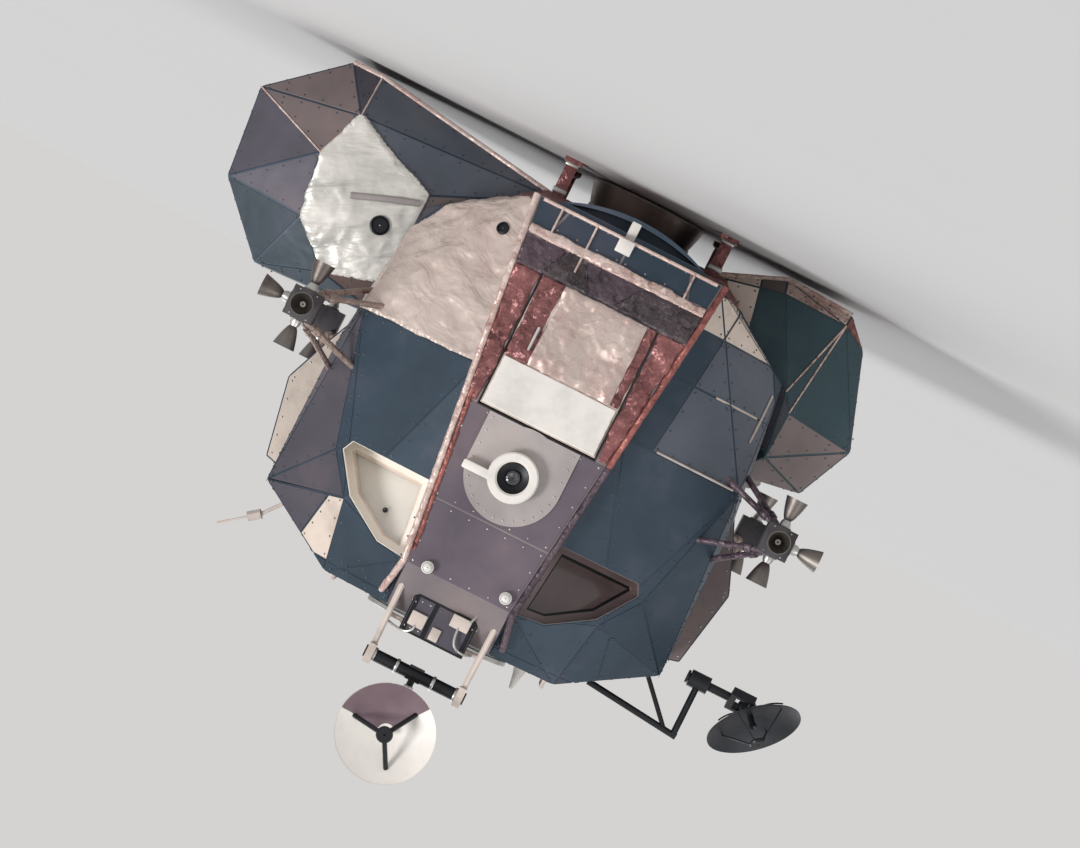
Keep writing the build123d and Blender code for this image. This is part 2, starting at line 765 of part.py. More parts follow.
# Boom of the steerable antenna, its strut and the bearing at its foot
bearing_outer = 110
bearing_length = 130
boom_root = (-980, steer_y, roof_height - 80)
boom_corner = (steer_boom_x, steer_y, steer_boom_top)
boom_foot = (steer_boom_x, steer_y, steer_axis_z)
brace_root = (-1240, steer_y, roof_height - 340)
with BuildPart() as steer_boom:
    rod(boom_root, (steer_boom_x - boom_diameter / 2, steer_y, steer_boom_top), boom_diameter)
    rod(boom_corner, boom_foot, boom_diameter)
    rod(brace_root, (steer_boom_x + 60, steer_y, steer_boom_top - 4), boom_diameter - 12)
    with Locations(Location(boom_foot, (0, 90, 0))):
        Cylinder(bearing_outer / 2, bearing_length)
        Cylinder(steer_shaft / 2 + pin_gap, bearing_length, mode=Mode.SUBTRACT)
    add(cabin_outer, mode=Mode.SUBTRACT)
    add(mid_outer, mode=Mode.SUBTRACT)
save(steer_boom.part, "steerable_boom")

# Yoke on the boom's shaft, turned to the pitch of the antenna at rest
pitch = radians(steer_pitch)
yaw = radians(steer_yaw)
steer_hub = (steer_hub_x, steer_y, steer_axis_z)
steer_pin_axis = (0, -sin(pitch), cos(pitch))
steer_along = (-sin(yaw), cos(yaw) * cos(pitch), cos(yaw) * sin(pitch))
yoke_base = steer_hub_x + fork_reach
yoke_plane = Plane(origin=steer_hub, x_dir=(1, 0, 0), z_dir=steer_pin_axis)
collar_thick = 14
shaft_end = steer_boom_x + bearing_length / 2 + running_gap + collar_thick
with BuildPart() as steer_yoke:
    shaft_length = shaft_end - yoke_base
    with Locations(Location((yoke_base + shaft_length / 2, steer_y, steer_axis_z), (0, 90, 0))):
        Cylinder(steer_shaft / 2, shaft_length)
    with Locations(Location((shaft_end - collar_thick / 2, steer_y, steer_axis_z), (0, 90, 0))):
        Cylinder(steer_shaft * 0.75, collar_thick)
    with BuildSketch(yoke_plane):
        with Locations((fork_reach, 0)):
            Rectangle(40, 2 * fork_half)
    extrude(amount=fork_gap + fork_thick, both=True)
    for level in (-fork_gap - fork_thick, fork_gap):
        with BuildSketch(yoke_plane.offset(level)):
            with Locations((fork_reach / 2 - fork_half / 2, 0)):
                Rectangle(fork_reach + fork_half, 2 * fork_half)
        extrude(amount=fork_thick)
    with BuildSketch(yoke_plane):
        Circle(hinge_pin)
    extrude(amount=fork_gap + fork_thick, both=True)
save(steer_yoke.part, "steerable_yoke")
steer_stays = (45, 135, 225, 315)
steer_antenna = dish(steer_hub, steer_along, steer_pin_axis, steer_dish, steer_dish_depth, steer_offset, steer_stays)
save(steer_antenna, "steerable_dish")

# Whip antennas on the aft bay: the height that they go by, and root, tuner and tip from it
whip_rows = [
    (roof_height, (1130, 800, -330), (1366, 840, -34), (1601, 880, 148)),
    (quad_height, (-1100, 1380, -150), (-1420, 1640, -260), (-1600, 1790, -400)),
]
tuner_length = 90
tuner_diameter = 72
with BuildPart() as vhf_antennas:
    for level, root, tuner, tip in whip_rows:
        places = [(x, y, level + z) for x, y, z in (root, tuner, tip)]
        along = (Vector(*places[2]) - Vector(*places[1])).normalized()
        tuner_end = Vector(*places[1]) + along * tuner_length
        rod(places[0], places[1], 28)
        rod(places[1], tuner_end, tuner_diameter)
        rod(tuner_end, places[2], 16)
    add(aft_bay, mode=Mode.SUBTRACT)
save(vhf_antennas.part, "vhf_antennas")

# Stub antennas: one on the roof of the cabin, one on the rack
stub_rows = [(48, 0), (11, 150)]
stub_sides = 16
with BuildPart() as stub_antennas:
    with Locations((-560, -1120, roof_height)):
        ConvexPolyhedron(rings(stub_rows, stub_sides))
    with Locations(Plane(origin=(-620, aft_rack_end, roof_height - 860), z_dir=(0, 1, 0)).location):
        ConvexPolyhedron(rings(stub_rows, stub_sides))
save(stub_antennas.part, "stub_antennas")

# Small lamps on the front band: x, z
lamp_rows = [(-281, nose_brow_z - 71), (216, nose_brow_z - 29)]
lamp_radius = 38
lamp_length = 60
brow_lamp = (31, nose_front + 150, nose_brow_z + 95)
with BuildPart() as docking_lights:
    for x, z in lamp_rows:
        with Locations(Plane(origin=(x, nose_front, z), z_dir=(0, -1, 0)).location):
            ConvexPolyhedron(rings([(lamp_radius, 0), (lamp_radius, lamp_length)], stub_sides))
    with Locations(Plane(origin=brow_lamp, z_dir=(0, -1, 0)).location):
        ConvexPolyhedron(rings([(lamp_radius + 4, -30), (lamp_radius + 4, lamp_length - 30)], stub_sides))
    rod(brow_lamp, (31, nose_front + 130, nose_brow_z + 5), 40)
    add(nose_outer, mode=Mode.SUBTRACT)
save(docking_lights.part, "docking_lights")

# Antenna for a crew member outside, on the roof
with BuildPart() as eva_antenna:
    with Locations((-560, 380, roof_height)):
        ConvexPolyhedron(rings([(105, 0), (105, 30), (52, 90)], stub_sides))
save(eva_antenna.part, "eva_antenna")

# Docking target: a round plate with a standing cross on it
target_x = 620
target_y = 330
target_radius = 130
cross_reach = 180
cross_thick = 22
cross_height = 80
with BuildPart() as docking_target:
    with Locations((target_x, target_y, roof_height)):
        ConvexPolyhedron(rings([(target_radius, 0), (target_radius, plate_thick)], stub_sides))
    with Locations((target_x, target_y, roof_height + cross_height / 2)):
        Box(cross_reach, cross_thick, cross_height)
        Box(cross_thick, cross_reach, cross_height)
save(docking_target.part, "docking_target")

# Tubes along the two front edges of the band
rail_out = rail_diameter / 2
rail_rows = [
    (nose_foot_half + rail_out, -1690, nose_foot_z),
    (nose_half(nose_chin_z) + rail_out, nose_front, nose_chin_z),
    (nose_top_half + rail_out, nose_front, nose_brow_z),
    (405, -1620, roof_height - 68),
    (405, -1400, roof_height - 68),
]
with BuildPart() as edge_rails:
    for side in (-1, 1):
        route = [(side * x, y, z) for x, y, z in rail_rows]
        with BuildLine() as path:
            Polyline(*route)
        with BuildSketch(Plane(origin=route[0], z_dir=path.line % 0)):
            RegularPolygon(rail_diameter / 2, 8)
        sweep(path=path.line, transition=Transition.RIGHT)
    add(nose_outer, mode=Mode.SUBTRACT)
    add(cabin_outer, mode=Mode.SUBTRACT)
save(edge_rails.part, "edge_rails")

# Base plate with the four feet that hold the stage on its lower stage, each bored for its bolt
with BuildPart() as midsection_base:
    add(mid_shell.part)
    add(block((-far, -far, 0), (far, far, base_seam)), mode=Mode.INTERSECT)
    for x in (-foot_x, foot_x):
        for y in (-foot_y, foot_y):
            with Locations((x, y, foot_pad / 2)):
                Box(foot_size, foot_size, foot_pad)
            with Locations((x, y, (base_height + 10) / 2)):
                Box(foot_post, foot_post, base_height + 10)
            with Locations((x, y, 0)):
                Cylinder(foot_bolt / 2, 2 * foot_bolt_depth, mode=Mode.SUBTRACT)
save(midsection_base.part, "midsection_base")
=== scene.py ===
"""Looks of the ascent stage of a two-stage lunar lander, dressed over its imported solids.

Metres; X points to port, Y aft and Z up. The origin lies on the thrust axis, on the plane of the feet.
"""

import json
import math

import bpy
from mathutils import Matrix, Vector
from mathutils.bvhtree import BVHTree


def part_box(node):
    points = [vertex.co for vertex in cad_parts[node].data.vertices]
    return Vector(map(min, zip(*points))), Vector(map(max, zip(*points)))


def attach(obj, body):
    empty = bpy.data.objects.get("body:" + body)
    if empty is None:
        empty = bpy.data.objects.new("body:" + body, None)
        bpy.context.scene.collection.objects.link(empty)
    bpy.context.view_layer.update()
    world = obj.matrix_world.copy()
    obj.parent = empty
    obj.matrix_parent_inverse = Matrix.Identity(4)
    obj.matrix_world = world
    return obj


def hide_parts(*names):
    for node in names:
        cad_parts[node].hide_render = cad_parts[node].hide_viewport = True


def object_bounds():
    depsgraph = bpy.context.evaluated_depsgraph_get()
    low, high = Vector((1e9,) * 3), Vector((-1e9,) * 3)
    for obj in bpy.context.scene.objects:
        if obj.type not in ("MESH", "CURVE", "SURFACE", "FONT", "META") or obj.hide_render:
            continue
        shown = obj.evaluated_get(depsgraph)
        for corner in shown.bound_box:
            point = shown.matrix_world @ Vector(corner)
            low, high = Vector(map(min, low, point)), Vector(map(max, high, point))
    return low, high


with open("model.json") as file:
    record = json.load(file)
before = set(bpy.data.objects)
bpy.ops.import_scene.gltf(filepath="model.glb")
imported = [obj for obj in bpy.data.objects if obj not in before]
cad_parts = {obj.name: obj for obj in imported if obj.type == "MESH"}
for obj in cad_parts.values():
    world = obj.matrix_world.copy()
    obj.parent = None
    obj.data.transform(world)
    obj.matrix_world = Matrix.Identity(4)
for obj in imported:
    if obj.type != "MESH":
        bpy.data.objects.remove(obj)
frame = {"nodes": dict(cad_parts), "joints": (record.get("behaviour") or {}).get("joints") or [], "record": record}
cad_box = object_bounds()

bl_info = {
    "name": "Lander Ascent Stage",
    "version": (1, 0, 0),
    "blender": (4, 5, 0),
    "location": "View3D > Sidebar > Ascent Stage",
    "description": "Panels, foil, thrusters, antennas and studio of a lander's ascent stage",
    "category": "Object",
}

FRONT = Vector((0, -1, 0))
AFT = Vector((0, 1, 0))
UP = Vector((0, 0, 1))
SIDES = (("port", 1), ("starboard", -1))
CORNERS = [(a, b) for a in (-1, 1) for b in (-1, 1)]
MIDDLE = Vector((0, 0, 1.9))  # a facet on the outside faces away from this point
BORDER = 0.022  # from a sheet's edge to its row of fasteners
HEAD_HEIGHT = 0.004  # of a fastener on a sheet
MERGED = 0.0001  # corners of a CAD copy that are closer than this are one
FLAT = math.radians(1.5)  # triangles that meet at less than this are one facet
CREASE = math.radians(3)  # facets that meet at more than this have an edge between them
SHEET_EDGE = math.radians(50)  # the least angle of an edge that a sheet's rounding takes
FOLDS, CREASES = 2.2, 0.6  # spans of a foil's folds and creases, times the size it is given
CREASE_DEPTH = 0.45  # of a foil's creases, times the depth of its folds
FAR_FRONT = -6  # Y of a point well in front of the stage
COVERED = 0.002  # a facet with a corner of its node further out than this isn't on the outside

# The record's slot that a panel's finish stands for, where it isn't that of the dark panels
PANEL_SLOTS = {
    "brown_panel": "brown_panel",
    "taupe_panel": "brown_panel",
    "cream_panel": "white_panel",
    "red_wrap": "red_foil",
    "edge_wrap": "pale_strut",
}


def low(node):
    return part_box(node)[0]


def high(node):
    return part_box(node)[1]


def at_x(x, z=0, lean=0):
    """A cutting plane across X, through a height, that leans along Z."""
    return (x, 0, z), (1, 0, lean)


def at_y(y):
    return (0, y, 0), (0, 1, 0)


def at_z(z):
    return (0, 0, z), (0, 0, 1)


def heading(turn):
    """The direction at an angle about Z, in degrees from X."""
    turn = math.radians(turn)
    return Vector((math.cos(turn), math.sin(turn), 0))


# ---------------------------------------------------------------- selection and shaping


def only(*pieces):
    """Select these pieces alone and make the first one active."""
    bpy.ops.object.select_all(action="DESELECT")
    for piece in pieces:
        piece.select_set(True)
    bpy.context.view_layer.objects.active = pieces[0]


def opened(piece, kind="FACE", action="SELECT"):
    """Open a piece in edit mode with all or none of it selected."""
    only(piece)
    bpy.ops.object.mode_set(mode="EDIT")
    bpy.ops.mesh.select_mode(type=kind)
    bpy.ops.mesh.select_all(action=action)


def closed():
    bpy.ops.object.mode_set(mode="OBJECT")


def choose_edges(piece, test):
    """Open a piece with those edges selected whose two vertex numbers pass a test."""
    opened(piece, "EDGE", "DESELECT")
    closed()
    for edge in piece.data.edges:
        edge.select = test(*edge.vertices)
    bpy.ops.object.mode_set(mode="EDIT")


def keep_only(piece, test):
    """Delete the faces whose centre and normal fail a test."""
    opened(piece, action="DESELECT")
    closed()
    for face in piece.data.polygons:
        face.select = not test(face.center, face.normal)
    bpy.ops.object.mode_set(mode="EDIT")
    bpy.ops.mesh.delete(type="FACE")
    closed()


def modified(piece, kind, **settings):
    """Add a modifier and apply it."""
    only(piece)
    step = piece.modifiers.new(kind.title(), kind)
    for name, value in settings.items():
        setattr(step, name, value)
    bpy.ops.object.modifier_apply(modifier=step.name)
    return piece


def named(piece, name):
    piece.name = piece.data.name = name
    return piece


def settled(piece):
    """Put a piece's place into its mesh, so that its object sits at the origin."""
    only(piece)
    bpy.ops.object.transform_apply(location=True, rotation=True, scale=True)
    return piece


def aimed(way):
    """The turn that points Z along a direction."""
    return way.to_track_quat("Z", "Y").to_matrix().to_4x4()


def placed(piece, spot, along=UP):
    """Turn a piece made along Z to a direction and move it to its spot."""
    piece.matrix_world = Matrix.Translation(Vector(spot)) @ aimed(Vector(along).normalized())
    return settled(piece)


def joined(pieces, name):
    """Join pieces into one of this name."""
    only(*pieces)
    if len(pieces) > 1:
        bpy.ops.object.join()
    return named(bpy.context.view_layer.objects.active, name)


def mounted(piece, slot, finish=None, body="stage", replaces=(), angle=35):
    """Smooth a piece's gentle edges, give it its finish (or the slot's own), put it under its body and hide the CAD
    nodes it replaces.
    """
    only(piece)
    bpy.ops.object.shade_smooth_by_angle(angle=math.radians(angle))
    piece.data.materials.clear()
    piece.data.materials.append(finishes[finish or slot])
    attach(piece, body)
    if replaces:
        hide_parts(*replaces)


# ---------------------------------------------------------------- things that are modelled more than once


def copy_of(node, name):
    """A merged copy of a CAD node, with its flat facets whole."""
    source = frame["nodes"][node]
    piece = source.copy()
    piece.data = source.data.copy()
    piece.name = piece.data.name = name
    piece.parent = None
    for key in [key for key in piece.keys() if key.startswith("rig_")]:
        del piece[key]
    piece.hide_render = piece.hide_viewport = False
    bpy.context.scene.collection.objects.link(piece)
    only(piece)
    bpy.ops.mesh.customdata_custom_splitnormals_clear()
    opened(piece)
    bpy.ops.mesh.remove_doubles(threshold=MERGED)
    bpy.ops.mesh.dissolve_limited(angle_limit=FLAT)
    closed()
    return piece


def facets(node, name, test, cuts=()):
    """The facets of a CAD node that pass a test, cut by planes and parted where they meet at an edge."""
    piece = copy_of(node, name)
    opened(piece, "EDGE", "DESELECT")
    bpy.ops.mesh.edges_select_sharp(sharpness=CREASE)
    bpy.ops.mesh.edge_split(type="EDGE")
    for spot, across in cuts:
        bpy.ops.mesh.select_all(action="SELECT")
        bpy.ops.mesh.bisect(plane_co=spot, plane_no=across)
        bpy.ops.mesh.edge_split(type="EDGE")
    closed()
    keep_only(piece, test)
    return piece


def inset_sheet(piece, margin):
    """Draw every loose facet in from its border."""
    opened(piece)
    bpy.ops.mesh.inset(thickness=margin, use_boundary=True, use_even_offset=True)
    bpy.ops.mesh.select_all(action="INVERT")
    bpy.ops.mesh.delete(type="FACE")
    closed()


def border_spots(piece, margin, pitch, shortest):
    """Spots and normals in rows along the borders of flat sheets."""
    mesh = piece.data
    users = {}
    for face in mesh.polygons:
        for key in face.edge_keys:
            users.setdefault(key, []).append(face)
    spots = []
    for (a, b), faces in users.items():
        start, end = mesh.vertices[a].co, mesh.vertices[b].co
        length = (end - start).length
        if len(faces) > 1 or length < shortest:
            continue
        face = faces[0]
        along = (end - start) / length
        inwards = face.normal.cross(along)
        if inwards.dot(face.center - start) < 0:
            inwards = -inwards
        count = max(1, round((length - 2 * margin) / pitch))
        for step in range(count + 1):
            reach = margin + (length - 2 * margin) * step / count
            spots.append((start + along * reach + inwards * margin, face.normal.copy()))
    return spots


def sheets(node, name, test, finish, cuts=(), slot=None, margin=None, thick=None, shortest=0.22):
    """Thin sheets over the facets of a CAD node. Gives the spots for the fasteners along their borders."""
    panels = bpy.context.scene.ascent_panels
    thick = thick or panels.sheet
    piece = facets(node, name, test, cuts)
    inset_sheet(piece, margin or panels.gap)
    spots = [(spot + out * thick, out) for spot, out in border_spots(piece, BORDER, panels.pitch, shortest)]
    modified(piece, "SOLIDIFY", thickness=thick, offset=1)
    modified(piece, "BEVEL", width=thick * 0.4, segments=1, limit_method="ANGLE", angle_limit=SHEET_EDGE)
    if piece.data.polygons:
        mounted(piece, slot or PANEL_SLOTS.get(finish, "dark_panel"), finish)
    else:
        bpy.data.objects.remove(piece)
    return spots


def toned(node, rows, fallback, test, reach, cuts=()):
    """Sheets over a node's facets, one piece for each finish: a facet takes that of the nearest row (spot, finish)."""

    def tone_of(c):
        facing = Vector((c.x, -abs(c.y), c.z))
        spot, finish = min(rows, key=lambda row: (Vector(row[0]) - facing).length)
        return finish if (Vector(spot) - facing).length < reach else fallback

    spots = []
    for finish in sorted({row[1] for row in rows} | {fallback}):
        spots += sheets(node, f"{node}_{finish}", lambda c, n: test(c, n) and tone_of(c) == finish, finish, cuts)
    return spots


def spread(pattern, spots, name):
    """Copy a pattern made along Z to every spot and normal, and join the copies."""
    copies = []
    for spot, out in spots:
        copy = pattern.copy()
        copy.data = pattern.data.copy()
        copy.data.transform(Matrix.Translation(spot) @ aimed(Vector(out)))
        bpy.context.scene.collection.objects.link(copy)
        copies.append(copy)
    bpy.data.objects.remove(pattern)
    return joined(copies, name)


def studded(name, spots, finish="fastener"):
    """Fasteners at all the spots of some sheets, as one piece."""
    head = fastener(bpy.context.scene.ascent_panels.head, HEAD_HEIGHT)
    mounted(spread(head, spots, name), "grey_panel", finish)


def on_front(node, x, z):
    """The spot of a CAD node that shows from the front at x and z, and the normal there."""
    mesh = frame["nodes"][node].data
    mesh.calc_loop_triangles()
    corners = [triangle.vertices[:] for triangle in mesh.loop_triangles]
    tree = BVHTree.FromPolygons([vertex.co for vertex in mesh.vertices], corners)
    spot, out, _, _ = tree.ray_cast(Vector((x, FAR_FRONT, z)), AFT)
    if spot is None:
        raise RuntimeError(f"nothing of {node} shows from the front at {x}, {z}")
    return spot, out


def fastener(radius, height, sides=8):
    """A button-headed fastener at the origin, pointing up."""
    bpy.ops.mesh.primitive_circle_add(vertices=sides, radius=radius, fill_type="NGON", enter_editmode=True)
    bpy.ops.mesh.select_all(action="SELECT")
    bpy.ops.mesh.extrude_region_move(TRANSFORM_OT_translate={"value": (0, 0, height * 0.6)})
    bpy.ops.mesh.extrude_region_move(TRANSFORM_OT_translate={"value": (0, 0, height * 0.4)})
    bpy.ops.transform.resize(value=(0.55, 0.55, 1), center_override=(0, 0, height))
    closed()
    return bpy.context.object


def turned(name, rows, sides=48, spot=None, along=UP):
    """A shape turned about Z from rows (radius, height), the last joined to the first, and placed if it has a spot."""
    radius, height = rows[0]
    bpy.ops.mesh.primitive_circle_add(vertices=sides, radius=radius, location=(0, 0, height), enter_editmode=True)
    piece = bpy.context.object
    bpy.ops.mesh.select_mode(type="EDGE")
    bpy.ops.mesh.select_all(action="SELECT")
    for (radius, height), (wide, level) in zip(rows, rows[1:]):
        bpy.ops.mesh.extrude_region_move(TRANSFORM_OT_translate={"value": (0, 0, level - height)})
        share = wide / radius
        bpy.ops.transform.resize(value=(share, share, 1), center_override=(0, 0, level))
    closed()
    count = len(piece.data.vertices)
    rings = [set(range(sides)), set(range(count - sides, count))]
    choose_edges(piece, lambda a, b: any({a, b} <= ring for ring in rings))
    bpy.ops.mesh.bridge_edge_loops()
    closed()
    opened(piece)
    bpy.ops.mesh.remove_doubles(threshold=0.00005)
    bpy.ops.mesh.normals_make_consistent(inside=False)
    closed()
    named(settled(piece), name)
    return piece if spot is None else placed(piece, spot, along)


def disc(name, radius, thick, sides):
    """A flat disc with a soft edge, from the origin upwards."""
    bpy.ops.mesh.primitive_cylinder_add(vertices=sides, radius=radius, depth=thick, location=(0, 0, thick / 2))
    piece = settled(bpy.context.object)
    return named(modified(piece, "BEVEL", width=thick * 0.2, segments=2, limit_method="ANGLE"), name)


def slab(name, corner, opposite, edge):
    """A block between two corners with its edges broken."""
    corner, opposite = Vector(corner), Vector(opposite)
    bpy.ops.mesh.primitive_cube_add(size=1, location=(corner + opposite) / 2)
    piece = bpy.context.object
    piece.scale = [abs(a - b) for a, b in zip(corner, opposite)]
    return named(modified(settled(piece), "BEVEL", width=edge, segments=2, limit_method="ANGLE"), name)


def tubes(name, runs, radius, smooth=False, sides=3):
    """Round tubes along runs of points, as one mesh."""
    bpy.ops.object.add(type="CURVE", location=(0, 0, 0))
    piece = bpy.context.object
    piece.data.dimensions = "3D"
    piece.data.bevel_depth = radius
    piece.data.bevel_resolution = sides
    piece.data.use_fill_caps = True
    piece.data.resolution_u = 8
    for run in runs:
        line = piece.data.splines.new("NURBS" if smooth else "POLY")
        line.points.add(len(run) - 1)
        for point, spot in zip(line.points, run):
            point.co = (*spot, 1)
        if smooth:
            line.order_u = 3
            line.use_endpoint_u = True
    only(piece)
    bpy.ops.object.convert(target="MESH")
    return named(bpy.context.object, name)


def clouds(name, size, depth):
    """A texture of folds of about this size."""
    texture = bpy.data.textures.new(name, "CLOUDS")
    texture.noise_scale, texture.noise_depth, texture.noise_type = size, depth, "HARD_NOISE"
    return texture


def crumpled(piece, cell, fold, size, thin=0.4, grow=0.45, pull=None):
    """Remesh a closed piece and crumple it as foil: long folds, drawn out along a pull (turn, stretch), and creases."""
    modified(piece, "REMESH", mode="VOXEL", voxel_size=cell)
    folds = {"texture": clouds(piece.name + "_folds", size * FOLDS, 1), "strength": -fold, "mid_level": grow}
    creases = clouds(piece.name + "_creases", size * CREASES, 2)
    if pull:
        turn, stretch = pull
        bpy.ops.object.empty_add(rotation=turn)
        guide = bpy.context.object
        guide.scale = stretch
        bpy.context.view_layer.update()
        modified(piece, "DISPLACE", texture_coords="OBJECT", texture_coords_object=guide, **folds)
        bpy.data.objects.remove(guide)
    else:
        modified(piece, "DISPLACE", texture_coords="LOCAL", **folds)
    modified(piece, "DISPLACE", texture=creases, strength=-fold * CREASE_DEPTH, mid_level=grow, texture_coords="LOCAL")
    return modified(piece, "DECIMATE", ratio=thin)


def blanket(node, name, test, cuts=(), margin=0.004, lift=0.008, cell=None, fold=None, size=None, thin=0.4, pull=None):
    """A crumpled foil blanket over facets of a CAD node."""
    foil = bpy.context.scene.ascent_foil
    thick = 0.026
    piece = facets(node, name, test, cuts)
    if margin:
        inset_sheet(piece, margin)
    opened(piece)
    bpy.ops.mesh.remove_doubles(threshold=0.0002)
    closed()
    modified(piece, "SOLIDIFY", thickness=thick, offset=2 * lift / thick - 1, use_even_offset=True)
    return crumpled(piece, cell or foil.step, fold or foil.fold, size or foil.fold_size, thin, pull=pull)


# ---------------------------------------------------------------- finishes


def added(tree, kind, inputs=None, **settings):
    """Add a node to a tree. Its inputs are values, or sockets to link."""
    node = tree.nodes.new(kind)
    for name, value in settings.items():
        setattr(node, name, value)
    for name, value in (inputs or {}).items():
        if isinstance(value, bpy.types.NodeSocket):
            tree.links.new(value, node.inputs[name])
        else:
            node.inputs[name].default_value = value
    return node


class Paint:
    """A material in the making: its shader, its object coordinates and short ways to add nodes."""

    def __init__(self, name, **sockets):
        self.material = bpy.data.materials.new(name)
        self.material.use_nodes = True
        self.tree = self.material.node_tree
        self.shader = self.tree.nodes["Principled BSDF"]
        self.where = self.add("ShaderNodeTexCoord").outputs["Object"]
        for socket, value in sockets.items():
            self.shader.inputs[socket.replace("_", " ")].default_value = value

    def add(self, kind, inputs=None, **settings):
        return added(self.tree, kind, inputs, **settings)

    def noise(self, scale, detail=3.0, rough=0.55, where=None, warp=0.0):
        inputs = {"Vector": where or self.where, "Scale": scale, "Detail": detail}
        return self.add("ShaderNodeTexNoise", {**inputs, "Roughness": rough, "Distortion": warp}).outputs["Fac"]

    def number(self, operation, *values):
        return self.add("ShaderNodeMath", dict(enumerate(values)), operation=operation).outputs["Value"]

    def vector(self, operation, *values):
        return self.add("ShaderNodeVectorMath", dict(enumerate(values)), operation=operation).outputs

    def blend(self, *parts):
        """The sum of parts (factor, share), each factor times its share."""
        total, *others = [self.number("MULTIPLY", factor, share) for factor, share in parts]
        for other in others:
            total = self.number("ADD", total, other)
        return total

    def flats(self, size, depth):
        """Height of flat facets of about this size, each tilted its own way, and a shade for each."""
        where = self.warped(0.6 / size, size * 0.9)
        cell = self.add("ShaderNodeTexVoronoi", {"Vector": where, "Scale": 1 / size}).outputs
        tilt = self.vector("SUBTRACT", cell["Color"], (0.5, 0.5, 0.5))["Vector"]
        reach = self.vector("SUBTRACT", where, cell["Position"])["Vector"]
        slope = self.vector("DOT_PRODUCT", tilt, reach)["Value"]
        shade = self.add("ShaderNodeSeparateColor", {"Color": cell["Color"]}).outputs["Red"]
        return self.number("MULTIPLY", slope, depth), shade

    def stretched(self, scale):
        """Object coordinates for fine lines along one axis."""
        return self.add("ShaderNodeMapping", {"Vector": self.where, "Scale": scale}).outputs["Vector"]

    def laid(self, size, turn):
        """Object coordinates for a pattern of this size along each axis, turned."""
        inputs = {"Vector": self.where, "Scale": size, "Rotation": turn}
        return self.add("ShaderNodeMapping", inputs, vector_type="TEXTURE").outputs["Vector"]

    def warped(self, scale, amount):
        """Object coordinates pushed about by noise, so that a pattern on them isn't regular."""
        drift = self.add("ShaderNodeTexNoise", {"Vector": self.where, "Scale": scale, "Detail": 2.0}).outputs["Color"]
        pushed = self.add("ShaderNodeVectorMath", {0: drift, "Scale": amount}, operation="SCALE").outputs["Vector"]
        return self.vector("ADD", self.where, pushed)["Vector"]

    def tones(self, factor, *stops):
        """A colour ramp over a factor, from stops (place, colour)."""
        ramp = self.add("ShaderNodeValToRGB", {"Fac": factor})
        line = ramp.color_ramp.elements
        while len(line) < len(stops):
            line.new(0.5)
        for mark, (place, colour) in zip(line, stops):
            mark.position = place
            mark.color = (*colour[:3], 1)
        return ramp.outputs["Color"]

    def colour(self, socket):
        self.tree.links.new(socket, self.shader.inputs["Base Color"])

    def between(self, factor, least, most, target="Roughness"):
        """Drive a shader value by a factor between two limits."""
        limits = {"Value": factor, "To Min": least, "To Max": most}
        self.tree.links.new(self.add("ShaderNodeMapRange", limits).outputs["Result"], self.shader.inputs[target])

    def bumps(self, *layers):
        """Stack bump layers (height, distance, strength)."""
        last = None
        for height, distance, strength in layers:
            inputs = {"Height": height, "Distance": distance, "Strength": strength}
            if last:
                inputs["Normal"] = last
            last = self.add("ShaderNodeBump", inputs).outputs["Normal"]
        self.tree.links.new(last, self.shader.inputs["Normal"])


def shade_of(colour, factor):
    return tuple(min(1.0, part * factor) for part in colour[:3])


def mixed(one, two, share):
    return tuple(a + (b - a) * share for a, b in zip(one[:3], two[:3]))


def sheet_metal(name, colour, gloss, metallic, tint=None, waves=0.24):
    """Thin painted or anodised sheet: slow colour drift, slight waves between its fasteners, fine rolling grain."""
    paint = Paint(name, Metallic=metallic)
    drift = paint.noise(1.7, 4.0)
    other = tint or shade_of(colour, 1.45)
    paint.colour(paint.tones(drift, (0.3, shade_of(colour, 0.73)), (0.52, colour), (0.74, other)))
    grain = paint.noise(1.0, 2.0, where=paint.stretched((6, 60, 320)))
    paint.between(paint.noise(9.0, 5.0), gloss - 0.1, gloss + 0.14)
    paint.bumps((paint.noise(2.6, 2.0, warp=0.6), 0.03, waves), (grain, 0.0006, 0.25))
    return paint.material


def foil(name, colour, deep, gloss, metallic, size, depth):
    """Crumpled metallised film: flat facets that tilt this way and that between sharp creases, with painted glints and
    shade in their colour.
    """
    paint = Paint(name, Metallic=metallic)
    coarse, shade = paint.flats(size, depth)
    fine, painted_glint = paint.flats(size * 0.34, depth * 0.7)
    drift = paint.noise(2.2, 4.0)
    # Painted glints and shade: each facet's own tone, and the half-lit and glint stops, stand for light that the foil
    # catches
    tone = paint.blend((drift, 0.75), (shade, 0.2), (painted_glint, 0.14))
    half_lit, glint = mixed(deep, colour, 0.72), shade_of(colour, 1.2)
    paint.colour(paint.tones(tone, (0.3, deep), (0.5, half_lit), (0.62, colour), (0.9, glint)))
    paint.between(drift, gloss - 0.08, gloss + 0.16)
    paint.bumps((coarse, 1.0, 0.8), (fine, 1.0, 0.7), (paint.noise(70.0, 2.0), 0.0008, 0.3))
    return paint.material


